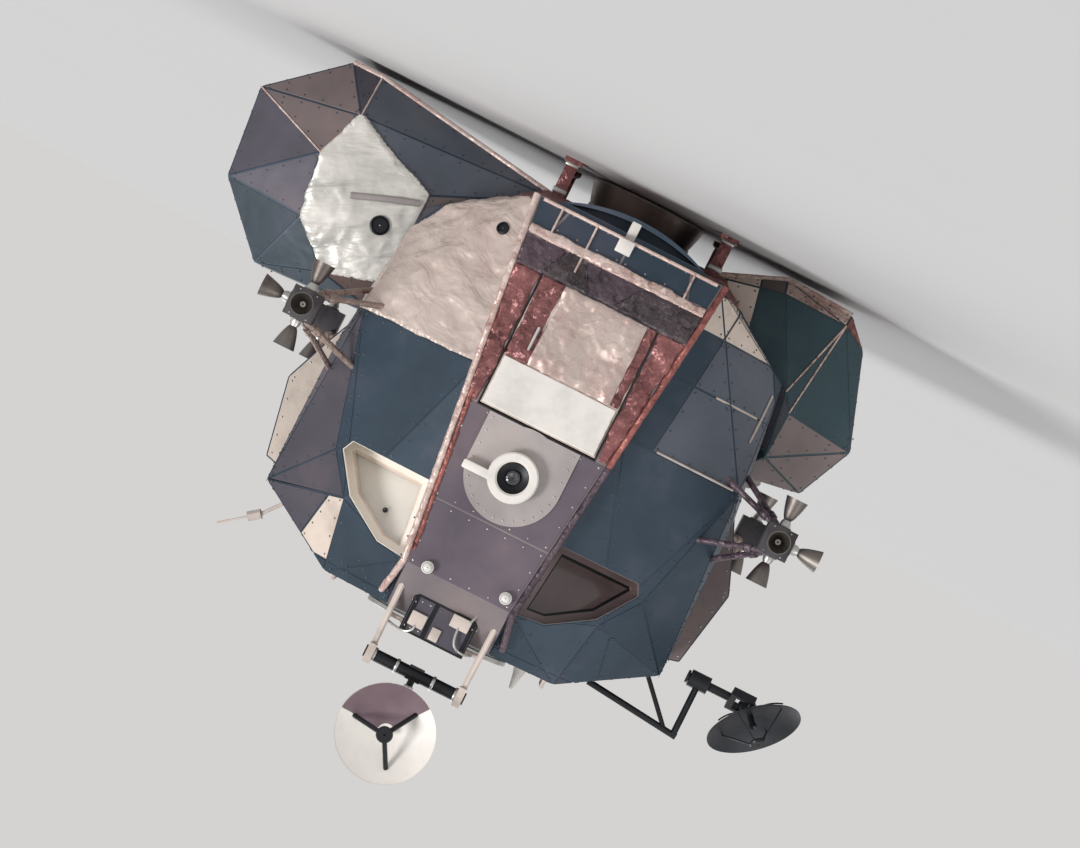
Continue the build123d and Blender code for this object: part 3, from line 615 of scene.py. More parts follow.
def draped_film(name, colour, deep, turn, gloss=0.42, metallic=0.3):
    """Metallised film drawn over a frame: long soft pleats one way, with broad flats and few creases."""
    paint = Paint(name, Metallic=metallic)
    pleats = paint.noise(1.0, 3.0, 0.45, where=paint.laid((0.62, 0.12, 0.12), turn), warp=0.5)
    broad, shade = paint.flats(0.26, 0.13)
    drift = paint.noise(1.5, 4.0)
    # Painted shade and glints: the colour is darker down in the pleats, and each flat has its own tone as if it caught
    # the light
    tone = paint.blend((drift, 0.66), (pleats, 0.34), (shade, 0.05))
    half_lit, glint = mixed(deep, colour, 0.75), shade_of(colour, 1.15)
    paint.colour(paint.tones(tone, (0.3, deep), (0.47, half_lit), (0.58, colour), (0.85, glint)))
    paint.between(pleats, gloss - 0.08, gloss + 0.14)
    paint.bumps((pleats, 0.07, 0.5), (broad, 1.0, 0.4), (paint.noise(60.0, 2.0), 0.0008, 0.25))
    return paint.material


def matt_paint(name, colour, gloss, dirt=0.12, metallic=0.0):
    """Matt paint with faint brush marks, grime and small scuffs."""
    paint = Paint(name, Metallic=metallic)
    grime = paint.noise(5.0, 6.0, 0.62)
    dirty, fresh = shade_of(colour, 1 - dirt * 2.2), shade_of(colour, 1 + dirt)
    paint.colour(paint.tones(grime, (0.28, dirty), (0.5, colour), (0.8, fresh)))
    paint.between(paint.noise(22.0, 4.0), gloss - 0.12, gloss + 0.12)
    paint.bumps((paint.noise(38.0, 3.0), 0.0012, 0.35), (paint.noise(3.0, 2.0), 0.006, 0.2))
    return paint.material


def machined(name, colour, gloss, heat=None, grain=(4, 4, 260)):
    """Machined or spun metal with fine turning lines and a slow stain, or the tint that heat leaves."""
    paint = Paint(name, Metallic=0.9)
    stain = paint.noise(4.0, 4.0)
    stained, bright = heat or shade_of(colour, 0.62), shade_of(colour, 1.15)
    paint.colour(paint.tones(stain, (0.3, stained), (0.55, colour), (0.8, bright)))
    lines = paint.noise(1.0, 2.0, where=paint.stretched(grain))
    paint.between(lines, gloss - 0.08, gloss + 0.15)
    paint.bumps((lines, 0.0008, 0.35))
    return paint.material


def burnt(name, colour, scorch, spot, reach):
    """Scorched lining, darkest near its throat."""
    paint = Paint(name, Metallic=0.15)
    near = paint.vector("DISTANCE", paint.where, spot)["Value"]
    share = paint.add("ShaderNodeMapRange", {"Value": near, "From Max": reach}).outputs["Result"]
    streaks = paint.noise(1.0, 4.0, where=paint.stretched((34, 34, 3)))
    blend = paint.number("MULTIPLY_ADD", streaks, 0.5, share)
    paint.colour(paint.tones(blend, (0.2, scorch), (0.75, mixed(scorch, colour, 0.5)), (1.0, colour)))
    paint.between(streaks, 0.55, 0.85)
    paint.bumps((streaks, 0.002, 0.4))
    return paint.material


def pane(name, tint, deep, least, most, sockets):
    """Window glass with a faint coating and slight waves, from its least to its most roughness."""
    paint = Paint(name, IOR=1.45, Coat_Roughness=0.05, **sockets)
    haze = paint.noise(3.0, 3.0)
    paint.colour(paint.tones(haze, (0.3, shade_of(tint, deep)), (0.7, tint)))
    paint.between(haze, least, most)
    paint.bumps((paint.noise(5.0, 1.0), 0.002, 0.15))
    return paint.material


def lens(name, tint):
    """Ribbed lamp glass."""
    paint = Paint(name, Coat_Weight=0.6, Coat_Roughness=0.08, IOR=1.5)
    rings = {"Vector": paint.where, "Scale": 30.0, "Distortion": 0.4}
    ribs = paint.add("ShaderNodeTexWave", rings, wave_type="RINGS").outputs["Fac"]
    paint.colour(paint.tones(ribs, (0.0, shade_of(tint, 0.8)), (1.0, tint)))
    paint.between(ribs, 0.12, 0.3)
    paint.bumps((ribs, 0.002, 0.4))
    return paint.material


finishes = {}


def make_finishes():
    """All the materials, by name: a row is the function that makes it and its values."""
    tone = bpy.context.scene.ascent_colours
    dark, beige, red = tone.dark_panel, tone.beige_foil, tone.red_foil
    draped = mixed(beige, red, 0.42)
    hatch, hatch_deep = shade_of(mixed(beige, red, 0.06), 0.84), mixed(beige, red, 0.5)
    glass, thin_glass = dict(Transmission_Weight=0.82, Coat_Weight=0.3), dict(Alpha=0.22, Coat_Weight=0.4)
    dim_glass = dict(Transmission_Weight=0.35, Coat_Weight=0.3)
    flat, dots = 0.06, (90, 90, 90)
    made = {
        "dark_panel": (sheet_metal, dark, 0.42, 0.3, (0.075, 0.085, 0.12)),
        # Slate: a lighter copy of the dark panels, painted light on the port bay's facets that face down, and part of
        # the starboard cheek's painted shade
        "slate_panel": (sheet_metal, (0.105, 0.12, 0.15), 0.45, 0.3, (0.14, 0.15, 0.178)),
        "deep_panel": (sheet_metal, shade_of(dark, 0.56), 0.42, 0.3, (0.042, 0.048, 0.068)),
        "band_panel": (sheet_metal, (0.24, 0.205, 0.215), 0.45, 0.3, (0.33, 0.26, 0.25)),
        "plum_panel": (sheet_metal, (0.085, 0.078, 0.1), 0.45, 0.3, (0.13, 0.1, 0.115)),
        "brow_panel": (sheet_metal, (0.141, 0.114, 0.141), 0.45, 0.3, (0.2, 0.15, 0.165)),
        "taupe_panel": (sheet_metal, (0.2, 0.155, 0.153), 0.48, 0.25, (0.27, 0.205, 0.19)),
        "brown_panel": (sheet_metal, (0.188, 0.127, 0.114), 0.45, 0.35, (0.26, 0.19, 0.15)),
        "green_panel": (sheet_metal, (0.034, 0.07, 0.084), 0.4, 0.3, (0.06, 0.1, 0.112)),
        "grey_panel": (sheet_metal, (0.4, 0.36, 0.35), 0.5, 0.25, (0.52, 0.45, 0.42)),
        "black_anodised": (sheet_metal, (0.016, 0.017, 0.02), 0.4, 0.5, None, flat),
        # The steerable dish's dark grey is painted shade: the inside of the dish lies in shadow
        "dish_dark": (sheet_metal, (0.024, 0.026, 0.032), 0.42, 0.4, None, flat),
        # A darker mauve finish: painted shadow cast on the radar dish
        "dish_shade": (sheet_metal, (0.185, 0.125, 0.145), 0.5, 0.2, (0.25, 0.175, 0.195), flat),
        "beige_foil": (draped_film, beige, draped, (0, 0.41, 0)),
        "silver_blanket": (draped_film, tone.silver_foil, (0.33, 0.33, 0.31), (0, -0.5, 0), 0.38, 0.35),
        "hatch_foil": (foil, hatch, hatch_deep, 0.38, 0.4, 0.085, 0.26),
        "red_foil": (foil, red, (0.075, 0.024, 0.026), 0.32, 0.5, 0.045, 0.6),
        "torn_foil": (foil, (0.095, 0.074, 0.08), (0.02, 0.015, 0.018), 0.4, 0.4, 0.04, 0.9),
        "edge_wrap": (foil, (0.75, 0.6, 0.54), (0.42, 0.2, 0.17), 0.36, 0.3, 0.035, 0.5),
        "red_wrap": (foil, (0.36, 0.125, 0.105), (0.1, 0.025, 0.028), 0.36, 0.4, 0.035, 0.7),
        "plum_wrap": (foil, (0.13, 0.09, 0.11), (0.03, 0.025, 0.035), 0.4, 0.4, 0.035, 0.6),
        "strut_wrap": (foil, (0.36, 0.27, 0.23), (0.12, 0.075, 0.065), 0.38, 0.4, 0.03, 0.5),
        "white_panel": (matt_paint, tone.white_paint, 0.5, 0.08),
        "cream_panel": (matt_paint, (0.74, 0.62, 0.53), 0.5, 0.14, 0.1),
        # Shade cream: the port window's shade, and painted sunlight on that window's reveals
        "shade_cream": (matt_paint, (0.93, 0.87, 0.79), 0.7, 0.03),
        "console_grey": (matt_paint, (0.17, 0.18, 0.18), 0.55),
        "pale_strut": (matt_paint, (0.62, 0.53, 0.47), 0.5, 0.15),
        "dish_white": (matt_paint, (0.89, 0.84, 0.78), 0.5, 0.04),
        "quad_paint": (matt_paint, (0.06, 0.055, 0.06), 0.5, 0.25, 0.2),
        "strap": (matt_paint, (0.55, 0.47, 0.42), 0.55, 0.2),
        "rubber": (matt_paint, (0.02, 0.02, 0.022), 0.75),
        "dial": (matt_paint, (0.03, 0.032, 0.035), 0.35, 0.1),
        "tick": (matt_paint, (0.75, 0.74, 0.7), 0.5, 0.05),
        "window_glass": (pane, (0.16, 0.125, 0.1), 0.75, 0.03, 0.12, glass),
        # Brown glass: a painted reflection in the starboard pane
        "brown_glass": (pane, (0.25, 0.18, 0.18), 0.75, 0.05, 0.2, dim_glass),
        "clear_glass": (pane, (0.93, 0.92, 0.89), 0.85, 0.05, 0.16, thin_glass),
        "lamp_white": (lens, (0.84, 0.82, 0.78)),
        "smoke_glass": (lens, (0.05, 0.05, 0.055)),
        "bare_metal": (machined, (0.55, 0.54, 0.52), 0.36),
        "bell_metal": (machined, (0.23, 0.19, 0.165), 0.4, (0.12, 0.085, 0.09)),
        "thruster_grey": (machined, (0.2, 0.18, 0.165), 0.42, (0.1, 0.075, 0.07)),
        "dark_fastener": (machined, (0.1, 0.11, 0.125), 0.45, None, dots),
        "fastener": (machined, (0.42, 0.38, 0.36), 0.38, None, dots),
        "burnt": (burnt, (0.17, 0.14, 0.12), (0.02, 0.018, 0.018), (0, 0, high("engine_nozzle").z), 0.75),
    }
    for name, (make, *values) in made.items():
        finishes[name] = make(name, *values)


# ---------------------------------------------------------------- settings a user would change


def colour_of(name, description, value):
    return bpy.props.FloatVectorProperty(
        name=name, description=description, subtype="COLOR", size=3, min=0.0, max=1.0, default=value
    )


def length_of(name, description, value):
    return bpy.props.FloatProperty(name=name, description=description, default=value, min=0.0, unit="LENGTH")


class AscentColours(bpy.types.PropertyGroup):
    dark_panel: colour_of("Dark panels", "Blue-black anodised sheet of the upper faces", (0.032, 0.055, 0.08))
    beige_foil: colour_of("Beige foil", "Crinkled foil of the port cheek and the hatch", (0.66, 0.55, 0.49))
    red_foil: colour_of("Red foil", "Reddish foil beside the hatch and below", (0.28, 0.112, 0.108))
    silver_foil: colour_of("Silver foil", "Foil blanket on the port tank bay", (0.775, 0.745, 0.69))
    white_paint: colour_of("White paint", "Shield, lamp ring and hatch", (0.8, 0.755, 0.7))


class AscentFoil(bpy.types.PropertyGroup):
    step: length_of("Mesh step", "Distance between the points of a foil's mesh", 0.014)
    fold: length_of("Fold depth", "Depth of a foil's folds", 0.022)
    fold_size: length_of("Fold size", "Distance between a foil's folds", 0.13)


class AscentPanels(bpy.types.PropertyGroup):
    gap: length_of("Seam", "How far each panel stops short of its facet's edge", 0.007)
    sheet: length_of("Sheet", "Thickness of a panel's sheet", 0.003)
    pitch: length_of("Pitch", "Distance between the fasteners along a border", 0.13)
    head: length_of("Head", "Radius of a fastener's head", 0.006)


class AscentStudio(bpy.types.PropertyGroup):
    distance: length_of("Distance", "From the camera to the middle of the stage", 29.0)
    focal: bpy.props.FloatProperty(name="Lens", description="Focal length of the camera", default=152.0, unit="CAMERA")
    roll: bpy.props.FloatProperty(
        name="Roll", description="How far the camera is rolled", default=math.radians(206.6), subtype="ANGLE"
    )


# ---------------------------------------------------------------- operators


class ASCENT_OT_studio(bpy.types.Operator):
    """Pale floor, soft lamps and the camera at the photograph's angle"""

    bl_idname = "ascent.studio"
    bl_label = "Studio"

    pale = (0.62, 0.61, 0.6)
    backdrop = (0.66, 0.65, 0.64)
    drop = 0.4  # of the camera below the middle of the stage
    floor_radius, floor_border = 240, 200

    def execute(self, context):
        setting = context.scene.ascent_studio
        middle = (cad_box[0] + cad_box[1]) / 2
        eye = Vector((0.0, middle.y - setting.distance, middle.z - self.drop))
        data = bpy.data.cameras.new("camera")
        data.lens = setting.focal
        data.clip_end = 400
        camera = bpy.data.objects.new("camera", data)
        context.scene.collection.objects.link(camera)
        camera.matrix_world = Matrix.Translation(eye) @ aimed(FRONT) @ Matrix.Rotation(setting.roll, 4, "Z")
        context.scene.camera = camera

        radius = self.floor_radius
        bpy.ops.mesh.primitive_circle_add(vertices=96, radius=radius, fill_type="NGON", enter_editmode=True)
        bpy.ops.mesh.select_all(action="SELECT")
        bpy.ops.mesh.inset(thickness=self.floor_border)
        closed()
        floor = bpy.context.object
        floor.name = "floor"
        paint = Paint("floor", Roughness=0.9)
        paint.colour(paint.tones(paint.noise(0.4, 2.0), (0.3, shade_of(self.pale, 0.985)), (0.7, self.pale)))
        floor.data.materials.append(paint.material)

        for name, towards, strength, angle in (
            ("key", (-0.52, 0.72, -0.5), 2.1, 18),
            ("fill", (0.7, 0.55, -0.6), 0.75, 40),
            ("back", (-0.2, -0.8, -0.75), 0.8, 40),
        ):
            bpy.ops.object.light_add(type="SUN", location=(0, 0, 12))
            lamp = bpy.context.object
            lamp.name = name
            lamp.rotation_euler = Vector(towards).to_track_quat("-Z", "Y").to_euler()
            lamp.data.energy = strength
            lamp.data.angle = math.radians(angle)

        # A soft world that lights the stage, and a plain backdrop for the camera, glass and gloss
        world = bpy.data.worlds.new("studio")
        context.scene.world = world
        world.use_nodes = True
        tree = world.node_tree
        tree.nodes.clear()
        ray = added(tree, "ShaderNodeLightPath").outputs
        seen = ray["Is Camera Ray"]
        for kind in ("Is Transmission Ray", "Is Glossy Ray"):
            seen = added(tree, "ShaderNodeMath", {0: seen, 1: ray[kind]}, operation="MAXIMUM").outputs[0]
        soft = added(tree, "ShaderNodeBackground", {"Color": (0.86, 0.88, 0.92, 1), "Strength": 0.42}).outputs[0]
        plain = added(tree, "ShaderNodeBackground", {"Color": (*self.backdrop, 1), "Strength": 1.0}).outputs[0]
        mix = added(tree, "ShaderNodeMixShader", {0: seen, 1: soft, 2: plain}).outputs[0]
        added(tree, "ShaderNodeOutputWorld", {0: mix})
        return {"FINISHED"}


class ASCENT_OT_node_finishes(bpy.types.Operator):
    """Materials of the solids that show as they are"""

    bl_idname = "ascent.node_finishes"
    bl_label = "Finishes of the solids"

    def execute(self, context):
        make_finishes()
        slots = {part["node"]: part["material_slot"] for part in frame["record"]["subparts"]}
        for node, piece in frame["nodes"].items():
            finish = finishes["green_panel" if node == "tank_bay_starboard" else slots[node]]
            if not piece.material_slots:
                piece.data.materials.append(finish)
            for slot in piece.material_slots:
                slot.material = finish
        return {"FINISHED"}


def faces_out(node, least=0.35):
    """A test for facets that face away from the middle of the stage, with nothing of their node in front of them."""
    corners = [vertex.co for vertex in frame["nodes"][node].data.vertices]
    return lambda c, n: n.dot((c - MIDDLE).normalized()) > least and max(n.dot(v - c) for v in corners) < COVERED


class ASCENT_OT_cabin_panels(bpy.types.Operator):
    """Sheet panels with their seams and fasteners on the cabin and the midsection"""

    bl_idname = "ascent.cabin_panels"
    bl_label = "Cabin panels"

    def execute(self, context):
        spots = []

        # Front faces: dark inboard, plum outboard on the port side, with one pale sheet below the window's corner
        slant, aligned = Vector((0.63, -0.64, 0.43)), 0.985
        seam_x, seam_z, seam_lean, split = 0.955, 2.55, 0.2, 0.99
        inboard = ((0.5, -1.7, 1.9), (0.77, -1.6, 1.74), (0.6, -1.6, 2.7), (1.0, -1.5, 2.16))
        outboard = ((1.24, -1.2, 2.21), (1.32, -1.12, 2.05), (1.14, -1.25, 2.49), (1.3, -1.19, 1.49))
        for hand, side in SIDES:
            node = "cabin_face_" + hand
            outer, pale = ("plum_panel", "cream_panel") if side > 0 else ("dark_panel", "dark_panel")
            out = faces_out(node)
            lower = lambda n: Vector((side * n.x, n.y, n.z)).dot(slant) > aligned
            rows = [((side * x, y, z), "dark_panel") for x, y, z in inboard]
            rows += [((side * x, y, z), outer) for x, y, z in outboard]
            spots += toned(node, rows, "dark_panel", lambda c, n: out(c, n) and not lower(n), 0.5)
            cuts = [at_x(side * seam_x, seam_z, -seam_lean * side)]
            for name, finish, slot in (("inner", pale, "white_panel"), ("outer", outer, "dark_panel")):
                within = lambda c: (side * c.x < split) == (name == "inner")
                test = lambda c, n: out(c, n) and lower(n) and within(c)
                spots += sheets(node, f"{node}_slant_{name}", test, finish, cuts, slot)

        waist = 2.15  # height of the seam round the cabin and the midsection
        for node, finish, cuts in (
            ("cabin_side_port", "plum_panel", [at_z(waist)]),
            ("cabin_side_starboard", "dark_panel", [at_z(waist)]),
            ("cabin_roof", "dark_panel", [at_y(-1.15), at_x(0)]),
            ("midsection_roof", "dark_panel", [at_x(0), at_y(0)]),
            ("midsection_hull", "dark_panel", [at_y(0), at_z(waist), at_z(1.5)]),
        ):
            spots += sheets(node, node + "_sheets", faces_out(node), finish, cuts)

        # The starboard cheek in painted shade: dark sheets beside the band and slate ones outboard of it stand for the
        # cheek in shadow; two cream pieces low down
        node = "cabin_cheek_starboard"
        edge, lean, cream_top, seam = -0.84, 0.12, 0.62, 0.95
        cuts = [at_x(edge, 0, -lean), at_z(cream_top), at_z(seam)]
        out = faces_out(node)
        inboard = lambda c: c.x > edge + lean * c.z
        for name, test in (
            ("dark", lambda c: inboard(c) and c.z > cream_top),
            ("slate", lambda c: not inboard(c) and c.z > cream_top),
            ("cream", lambda c: c.z < cream_top),
        ):
            spots += sheets(node, f"{node}_{name}", lambda c, n: out(c, n) and test(c), name + "_panel", cuts)
        studded("cabin_fasteners", spots, "dark_fastener")

        # Pale tape over the seams of that cheek
        lift, half_width = 0.006, 0.0075
        lines = (
            ((-0.70, 1.405), (-0.95, 1.405), (-1.22, 1.405)),
            ((-0.88, 0.95), (-1.02, 0.95), (-1.16, 0.95)),
            ((-1.185, 1.1), (-1.19, 0.95), (-1.192, 0.78)),
        )
        runs = [[spot + out * lift for spot, out in [on_front(node, x, z) for x, z in line]] for line in lines]
        mounted(tubes("cheek_tape", runs, half_width, sides=1), "pale_strut", "strap")
        return {"FINISHED"}


# Facets of the tank bays and their finishes: spot near the facet's middle, finish
port_facets = [
    ((1.44, -0.71, 0.85), "silver_blanket"),
    ((1.61, -0.71, 1.03), "silver_blanket"),
    ((1.69, -0.71, 0.54), "silver_blanket"),
    ((1.53, -0.68, 1.20), "silver_blanket"),
    ((1.14, -0.66, 0.67), "taupe_panel"),
    # Slate on these two facets, which face down, is painted light: a lighter copy of the dark panels
    ((1.14, -0.61, 0.42), "slate_panel"),
    ((1.10, -0.52, 0.24), "slate_panel"),
    ((2.10, -0.64, 0.93), "plum_panel"),
    ((2.30, -0.56, 0.73), "plum_panel"),
    ((2.10, -0.64, 0.49), "taupe_panel"),
    ((2.13, -0.55, 0.29), "taupe_panel"),
    ((1.86, -0.61, 1.28), "deep_panel"),
    ((2.13, -0.55, 1.19), "deep_panel"),
    ((1.91, -0.55, 0.16), "plum_panel"),
    ((1.41, -0.62, 1.31), "brown_panel"),
    ((1.57, -0.53, 1.40), "dark_panel"),
]
starboard_facets = [
    ((-1.23, -0.65, 0.35), "green_panel"),
    ((-0.97, -0.61, 0.42), "green_panel"),
    ((-0.80, -0.58, 0.38), "cream_panel"),
    ((-1.35, -0.70, 0.56), "green_panel"),
    ((-1.25, -0.73, 0.84), "plum_panel"),
    ((-1.50, -0.65, 0.94), "taupe_panel"),
    ((-1.53, -0.61, 0.62), "green_panel"),
    ((-1.59, -0.56, 1.07), "taupe_panel"),
    ((-1.61, -0.51, 0.43), "green_panel"),
    # The edge_wrap on the two facets here that face down is painted light: pale though they lie in shadow
    ((-1.14, -0.56, 0.13), "edge_wrap"),
    ((-0.76, -0.50, 0.19), "cream_panel"),
    ((-1.28, -0.51, 0.11), "edge_wrap"),
    ((-1.38, -0.58, 1.21), "taupe_panel"),
    ((-1.49, -0.51, 0.17), "red_wrap"),
]
# Middles of the edges of the tank bays that carry a thin pale strip
port_lines = [(2.19, 0.61), (1.82, 0.30), (1.91, 0.58)]
starboard_lines = [(-1.28, 0.49)]


def bay_edges(node, lines):
    """Edges of a tank bay: those along its bottom and front, and those near the middles given, as runs of points."""
    shortest, near, lift = 0.12, 0.11, 0.004
    rear, downwards = -0.15, -0.9  # limits of an edge's Y and of a facet's Z, as directions
    piece = copy_of(node, "edges")
    mesh = piece.data
    users = {}
    for face in mesh.polygons:
        for key in face.edge_keys:
            users.setdefault(key, []).append(face)
    bold, thin = [], []
    for (a, b), faces in users.items():
        ends = [mesh.vertices[a].co.copy(), mesh.vertices[b].co.copy()]
        out = sum((face.normal for face in faces), Vector()).normalized()
        if len(faces) != 2 or (ends[1] - ends[0]).length < shortest or out.y > rear:
            continue
        middle = (ends[0] + ends[1]) / 2
        run = [end + out * lift for end in ends]
        if min(face.normal.z for face in faces) < downwards:
            bold.append(run)
        elif any((Vector((middle.x, middle.z)) - Vector(line)).length < near for line in lines):
            thin.append(run)
    bpy.data.objects.remove(piece)
    return bold, thin


class ASCENT_OT_tank_bay_panels(bpy.types.Operator):
    """Sheet panels in tones given facet by facet, some of them painted light, edge strips and the silver blanket on the
    two tank bays
    """

    bl_idname = "ascent.tank_bay_panels"
    bl_label = "Tank bay panels"

    def execute(self, context):
        spots = []
        silver_reach, facet_reach = 0.12, 0.16  # how near a facet's middle lies to its row's spot
        for hand, rows, fallback, lines, cuts in (
            ("port", port_facets, "plum_panel", port_lines, ()),
            ("starboard", starboard_facets, "taupe_panel", starboard_lines, [at_x(-0.89, 0.4, 0.2)]),
        ):
            node = "tank_bay_" + hand
            outside = faces_out(node, -0.2)
            silver = [Vector(spot) for spot, finish in rows if finish == "silver_blanket"]
            shiny = lambda c: any((spot - c).length < silver_reach for spot in silver)
            plain = [row for row in rows if row[1] != "silver_blanket"]
            test = lambda c, n: outside(c, n) and not shiny(c)
            spots += toned(node, plain, fallback, test, facet_reach, cuts)
            if silver:
                cover = blanket(
                    node,
                    "tank_bay_silver_blanket",
                    lambda c, n: outside(c, n) and shiny(c),
                    margin=0,
                    lift=0.014,
                    fold=0.034,
                    size=0.2,
                    thin=0.45,
                    pull=((0, -0.5, 0), (3.5, 1, 1)),
                )
                mounted(cover, "silver_blanket", angle=30)
            bold, thin = bay_edges(node, lines)
            strips = [tubes("bold", bold, 0.016, sides=2), tubes("thin", thin, 0.006, sides=1)]
            mounted(joined(strips, node + "_strips"), "pale_strut", "edge_wrap")
        studded("tank_bay_fasteners", spots, "dark_fastener")

        # Vent and fold bar in the silver blanket
        node = "tank_bay_port"
        spot, out = on_front(node, 1.44, 0.912)
        rows = [(0.062, 0), (0.062, 0.02), (0.052, 0.024), (0.045, 0.012), (0.02, 0.01), (0.004, 0.01)]
        mounted(turned("blanket_vent", rows, 32, spot + out * 0.018, out), "dark_panel", "black_anodised")
        ends = [on_front(node, x, z) for x, z in ((1.28, 0.68), (1.47, 0.745), (1.683, 0.827))]
        bar = tubes("blanket_bar", [[spot + out * 0.03 for spot, out in ends]], 0.022)
        mounted(bar, "pale_strut", "grey_panel")
        return {"FINISHED"}


class ASCENT_OT_aft_bay_panels(bpy.types.Operator):
    """Sheet panels, ribs and boxes on the aft bay and its rack"""

    bl_idname = "ascent.aft_bay_panels"
    bl_label = "Aft bay panels"

    def execute(self, context):
        bay, rack = "aft_equipment_bay", "aft_equipment_rack"
        cuts = [at_x(-1.09), at_x(1.09), at_z(2.42), at_z(1.23)]
        behind = lambda c, n: n.y > -0.5
        spots = sheets(bay, "aft_bay_sheets", behind, "dark_panel", cuts)

        # The edges of the bay that show past the cabin from the front: the cream to port is painted sunlight
        edge = 1.35
        for (hand, side), finish in zip(SIDES, ("cream_panel", "taupe_panel")):
            test = lambda c, n: n.y < -0.9 and side * c.x > edge
            spots += sheets(bay, f"aft_bay_{hand}_edge", test, finish, [at_x(-edge), at_x(edge)])

        # The rack: cold plates with ribs between them, electronics boxes on the plates
        back = high(rack).y
        seams = (-0.62, -0.2, 0.2, 0.62)
        rib_foot, rib_top, bolt_inset, lug_top = 1.4, 2.25, 0.03, back + 0.012
        cuts = [at_x(x) for x in seams] + [at_z(1.78)]
        margin = context.scene.ascent_panels.gap * 2
        spots += sheets(rack, "aft_rack_sheets", behind, "grey_panel", cuts, "silver_blanket", margin)
        ribs = []
        for x in seams:
            ribs.append(slab("rib", (x - 0.012, back - 0.004, rib_foot), (x + 0.012, back + 0.028, rib_top), 0.003))
        boxes = []
        for x, z, wide, tall, deep in (
            (-0.41, 2.02, 0.28, 0.3, 0.06),
            (0.0, 2.04, 0.26, 0.26, 0.075),
            (0.41, 2.0, 0.28, 0.34, 0.055),
            (-0.41, 1.58, 0.26, 0.22, 0.07),
            (0.0, 1.56, 0.28, 0.28, 0.05),
            (0.41, 1.57, 0.24, 0.24, 0.075),
            (0.78, 1.85, 0.2, 0.36, 0.05),
        ):
            sunk, face = back - 0.002, back + deep
            a, b = wide / 2, tall / 2
            boxes.append(slab("box", (x - a, sunk, z - b), (x + a, face, z + b), 0.008))
            for lug in (x - a, x + a):
                boxes.append(slab("lug", (lug - 0.02, sunk, z - 0.03), (lug + 0.02, lug_top, z + 0.03), 0.002))
            for i, j in CORNERS:
                spots.append((Vector((x + i * (a - bolt_inset), face, z + j * (b - bolt_inset))), AFT))
        mounted(joined(boxes, "aft_rack_boxes"), "console_grey", "black_anodised")
        mounted(joined(ribs, "aft_rack_ribs"), "grey_panel", "strap")
        studded("aft_fasteners", spots)
        return {"FINISHED"}


class ASCENT_OT_foil_blankets(bpy.types.Operator):
    """Crumpled foil on the port cheek, the cabin floor and the base"""

    bl_idname = "ascent.foil_blankets"
    bl_label = "Foil blankets"

    def execute(self, context):
        foil_size = context.scene.ascent_foil
        for node, finish, cell, size, pull in (
            ("cabin_cheek_port", "beige_foil", foil_size.step, 0.17, ((0, 0.41, 0), (4.0, 1, 1))),
            ("cabin_floor", "red_foil", foil_size.step * 1.2, 0.16, None),
        ):
            piece = crumpled(copy_of(node, node + "_foil"), cell, foil_size.fold * 1.75, size, pull=pull)
            mounted(piece, finish, replaces=[node], angle=30)
        test = lambda c, n: n.z < -0.9 and c.z > 0.2
        under = blanket("midsection_base", "base_foil", test, margin=0.012, lift=0.006)
        mounted(under, "red_foil", angle=22)
        spot, out = on_front("cabin_cheek_port", 0.72, 0.615)
        rows = [(0.04, 0), (0.04, 0.016), (0.03, 0.02), (0.026, 0.01), (0.004, 0.008)]
        mounted(turned("cheek_vent", rows, 24, spot + out * 0.012, out), "dark_panel", "black_anodised")
        return {"FINISHED"}


